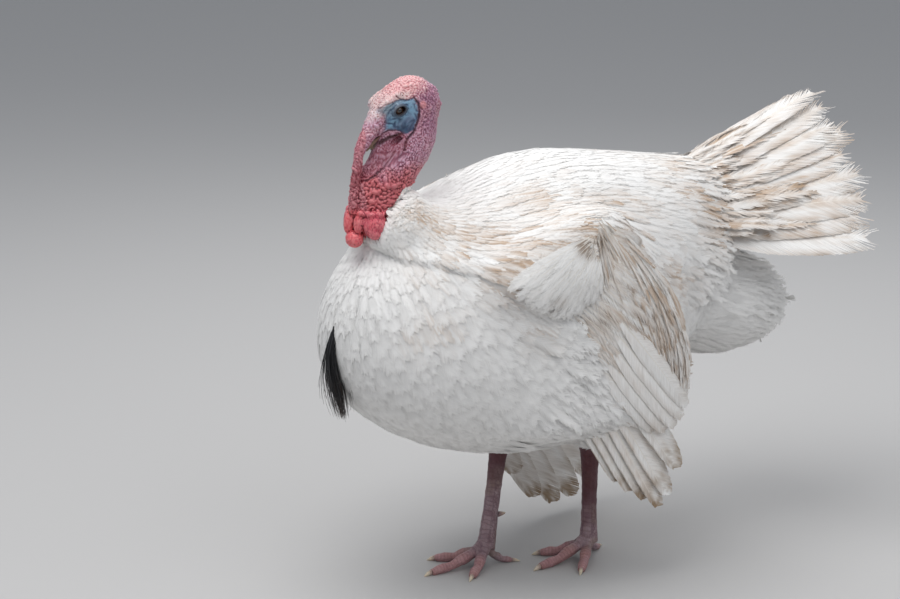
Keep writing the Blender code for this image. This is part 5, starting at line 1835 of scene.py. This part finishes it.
def build_stage():
    """A pale floor, three soft lamps and the camera at the photograph's angle."""
    scene = bpy.context.scene
    floor = Finish("floor", Roughness=0.9, Specular_IOR_Level=0.2, Base_Color=(0.50, 0.49, 0.48, 1)).material
    verts = np.array(((-9, -9, 0), (9, -9, 0), (9, 9, 0), (-9, 9, 0)), float) - ORIGIN * (1, 1, 0)
    mesh_object("floor", verts, np.array([(0, 1, 2, 3)]), floor, smooth=False)

    right = Vector((math.cos(AZIMUTH), math.sin(AZIMUTH), 0))
    flat = Vector((math.sin(AZIMUTH), -math.cos(AZIMUTH), 0))
    back = flat * math.cos(ELEVATION) + Vector((0, 0, math.sin(ELEVATION)))
    aim = right * -0.0857 + Vector((0, 0, 0.4223)) + Vector(ORIGIN)
    lens = bpy.data.cameras.new("camera")
    lens.lens, lens.sensor_width = 100, 36
    camera = bpy.data.objects.new("camera", lens)
    camera.location = aim + back * DISTANCE
    camera.rotation_euler = (-back).to_track_quat("-Z", "Y").to_euler()
    scene.collection.objects.link(camera)
    scene.camera = camera

    for name, place, size, power in (
        ("key", right * -0.6 + back * 0.7 + Vector((0, 0, 3.0)), 2.8, 89),
        ("fill", right * 2.0 + back * 2.0 + Vector((0, 0, 2.2)), 3.0, 28),
        ("rim", right * 0.6 - back * 2.0 + Vector((0, 0, 2.4)), 2.0, 20),
    ):
        lamp = bpy.data.lights.new(name, "AREA")
        lamp.energy, lamp.size = power, size
        lit = bpy.data.objects.new(name, lamp)
        lit.location = aim + place
        lit.rotation_euler = place.to_track_quat("Z", "Y").to_euler()
        scene.collection.objects.link(lit)
    sky = bpy.data.worlds.new("sky")
    sky.use_nodes = True
    light = sky.node_tree.nodes["Background"].inputs
    light[0].default_value, light[1].default_value = (0.84, 0.89, 0.97, 1), 0.47
    scene.world = sky
    scene.view_settings.view_transform = "Standard"


def main():
    rng = np.random.default_rng(17)
    build_skin(rng)
    verts, faces = merged(BODY, FORM_VOXEL, 0.0, 3)
    verts = bridged(verts, faces, 60, 0.014)
    verts = verts + Form(verts, faces).normals * mantle_fold(verts)[0][:, None]
    reach = np.maximum(np.abs(verts[:, 0]), 0.209)  # out over the folded wings
    verts[:, 0] = mix(verts[:, 0], np.sign(verts[:, 0]) * reach, wing_cover(verts))
    form = Form(verts, faces)
    quills = plumage_finish("flight feather", 0.0007, 0.00022)
    body_coat(form, plumage_finish("plumage"), rng)
    for side, sign in SIDES:
        build_wing(side, sign, form, quills, rng)
    build_tail(quills, rng)
    scales = leg_finish()
    for side, sign in SIDES:
        build_leg(side, sign, scales)
    build_horn(horn_finish())
    build_eyes()
    build_beard(rng)
    build_stage()


main()
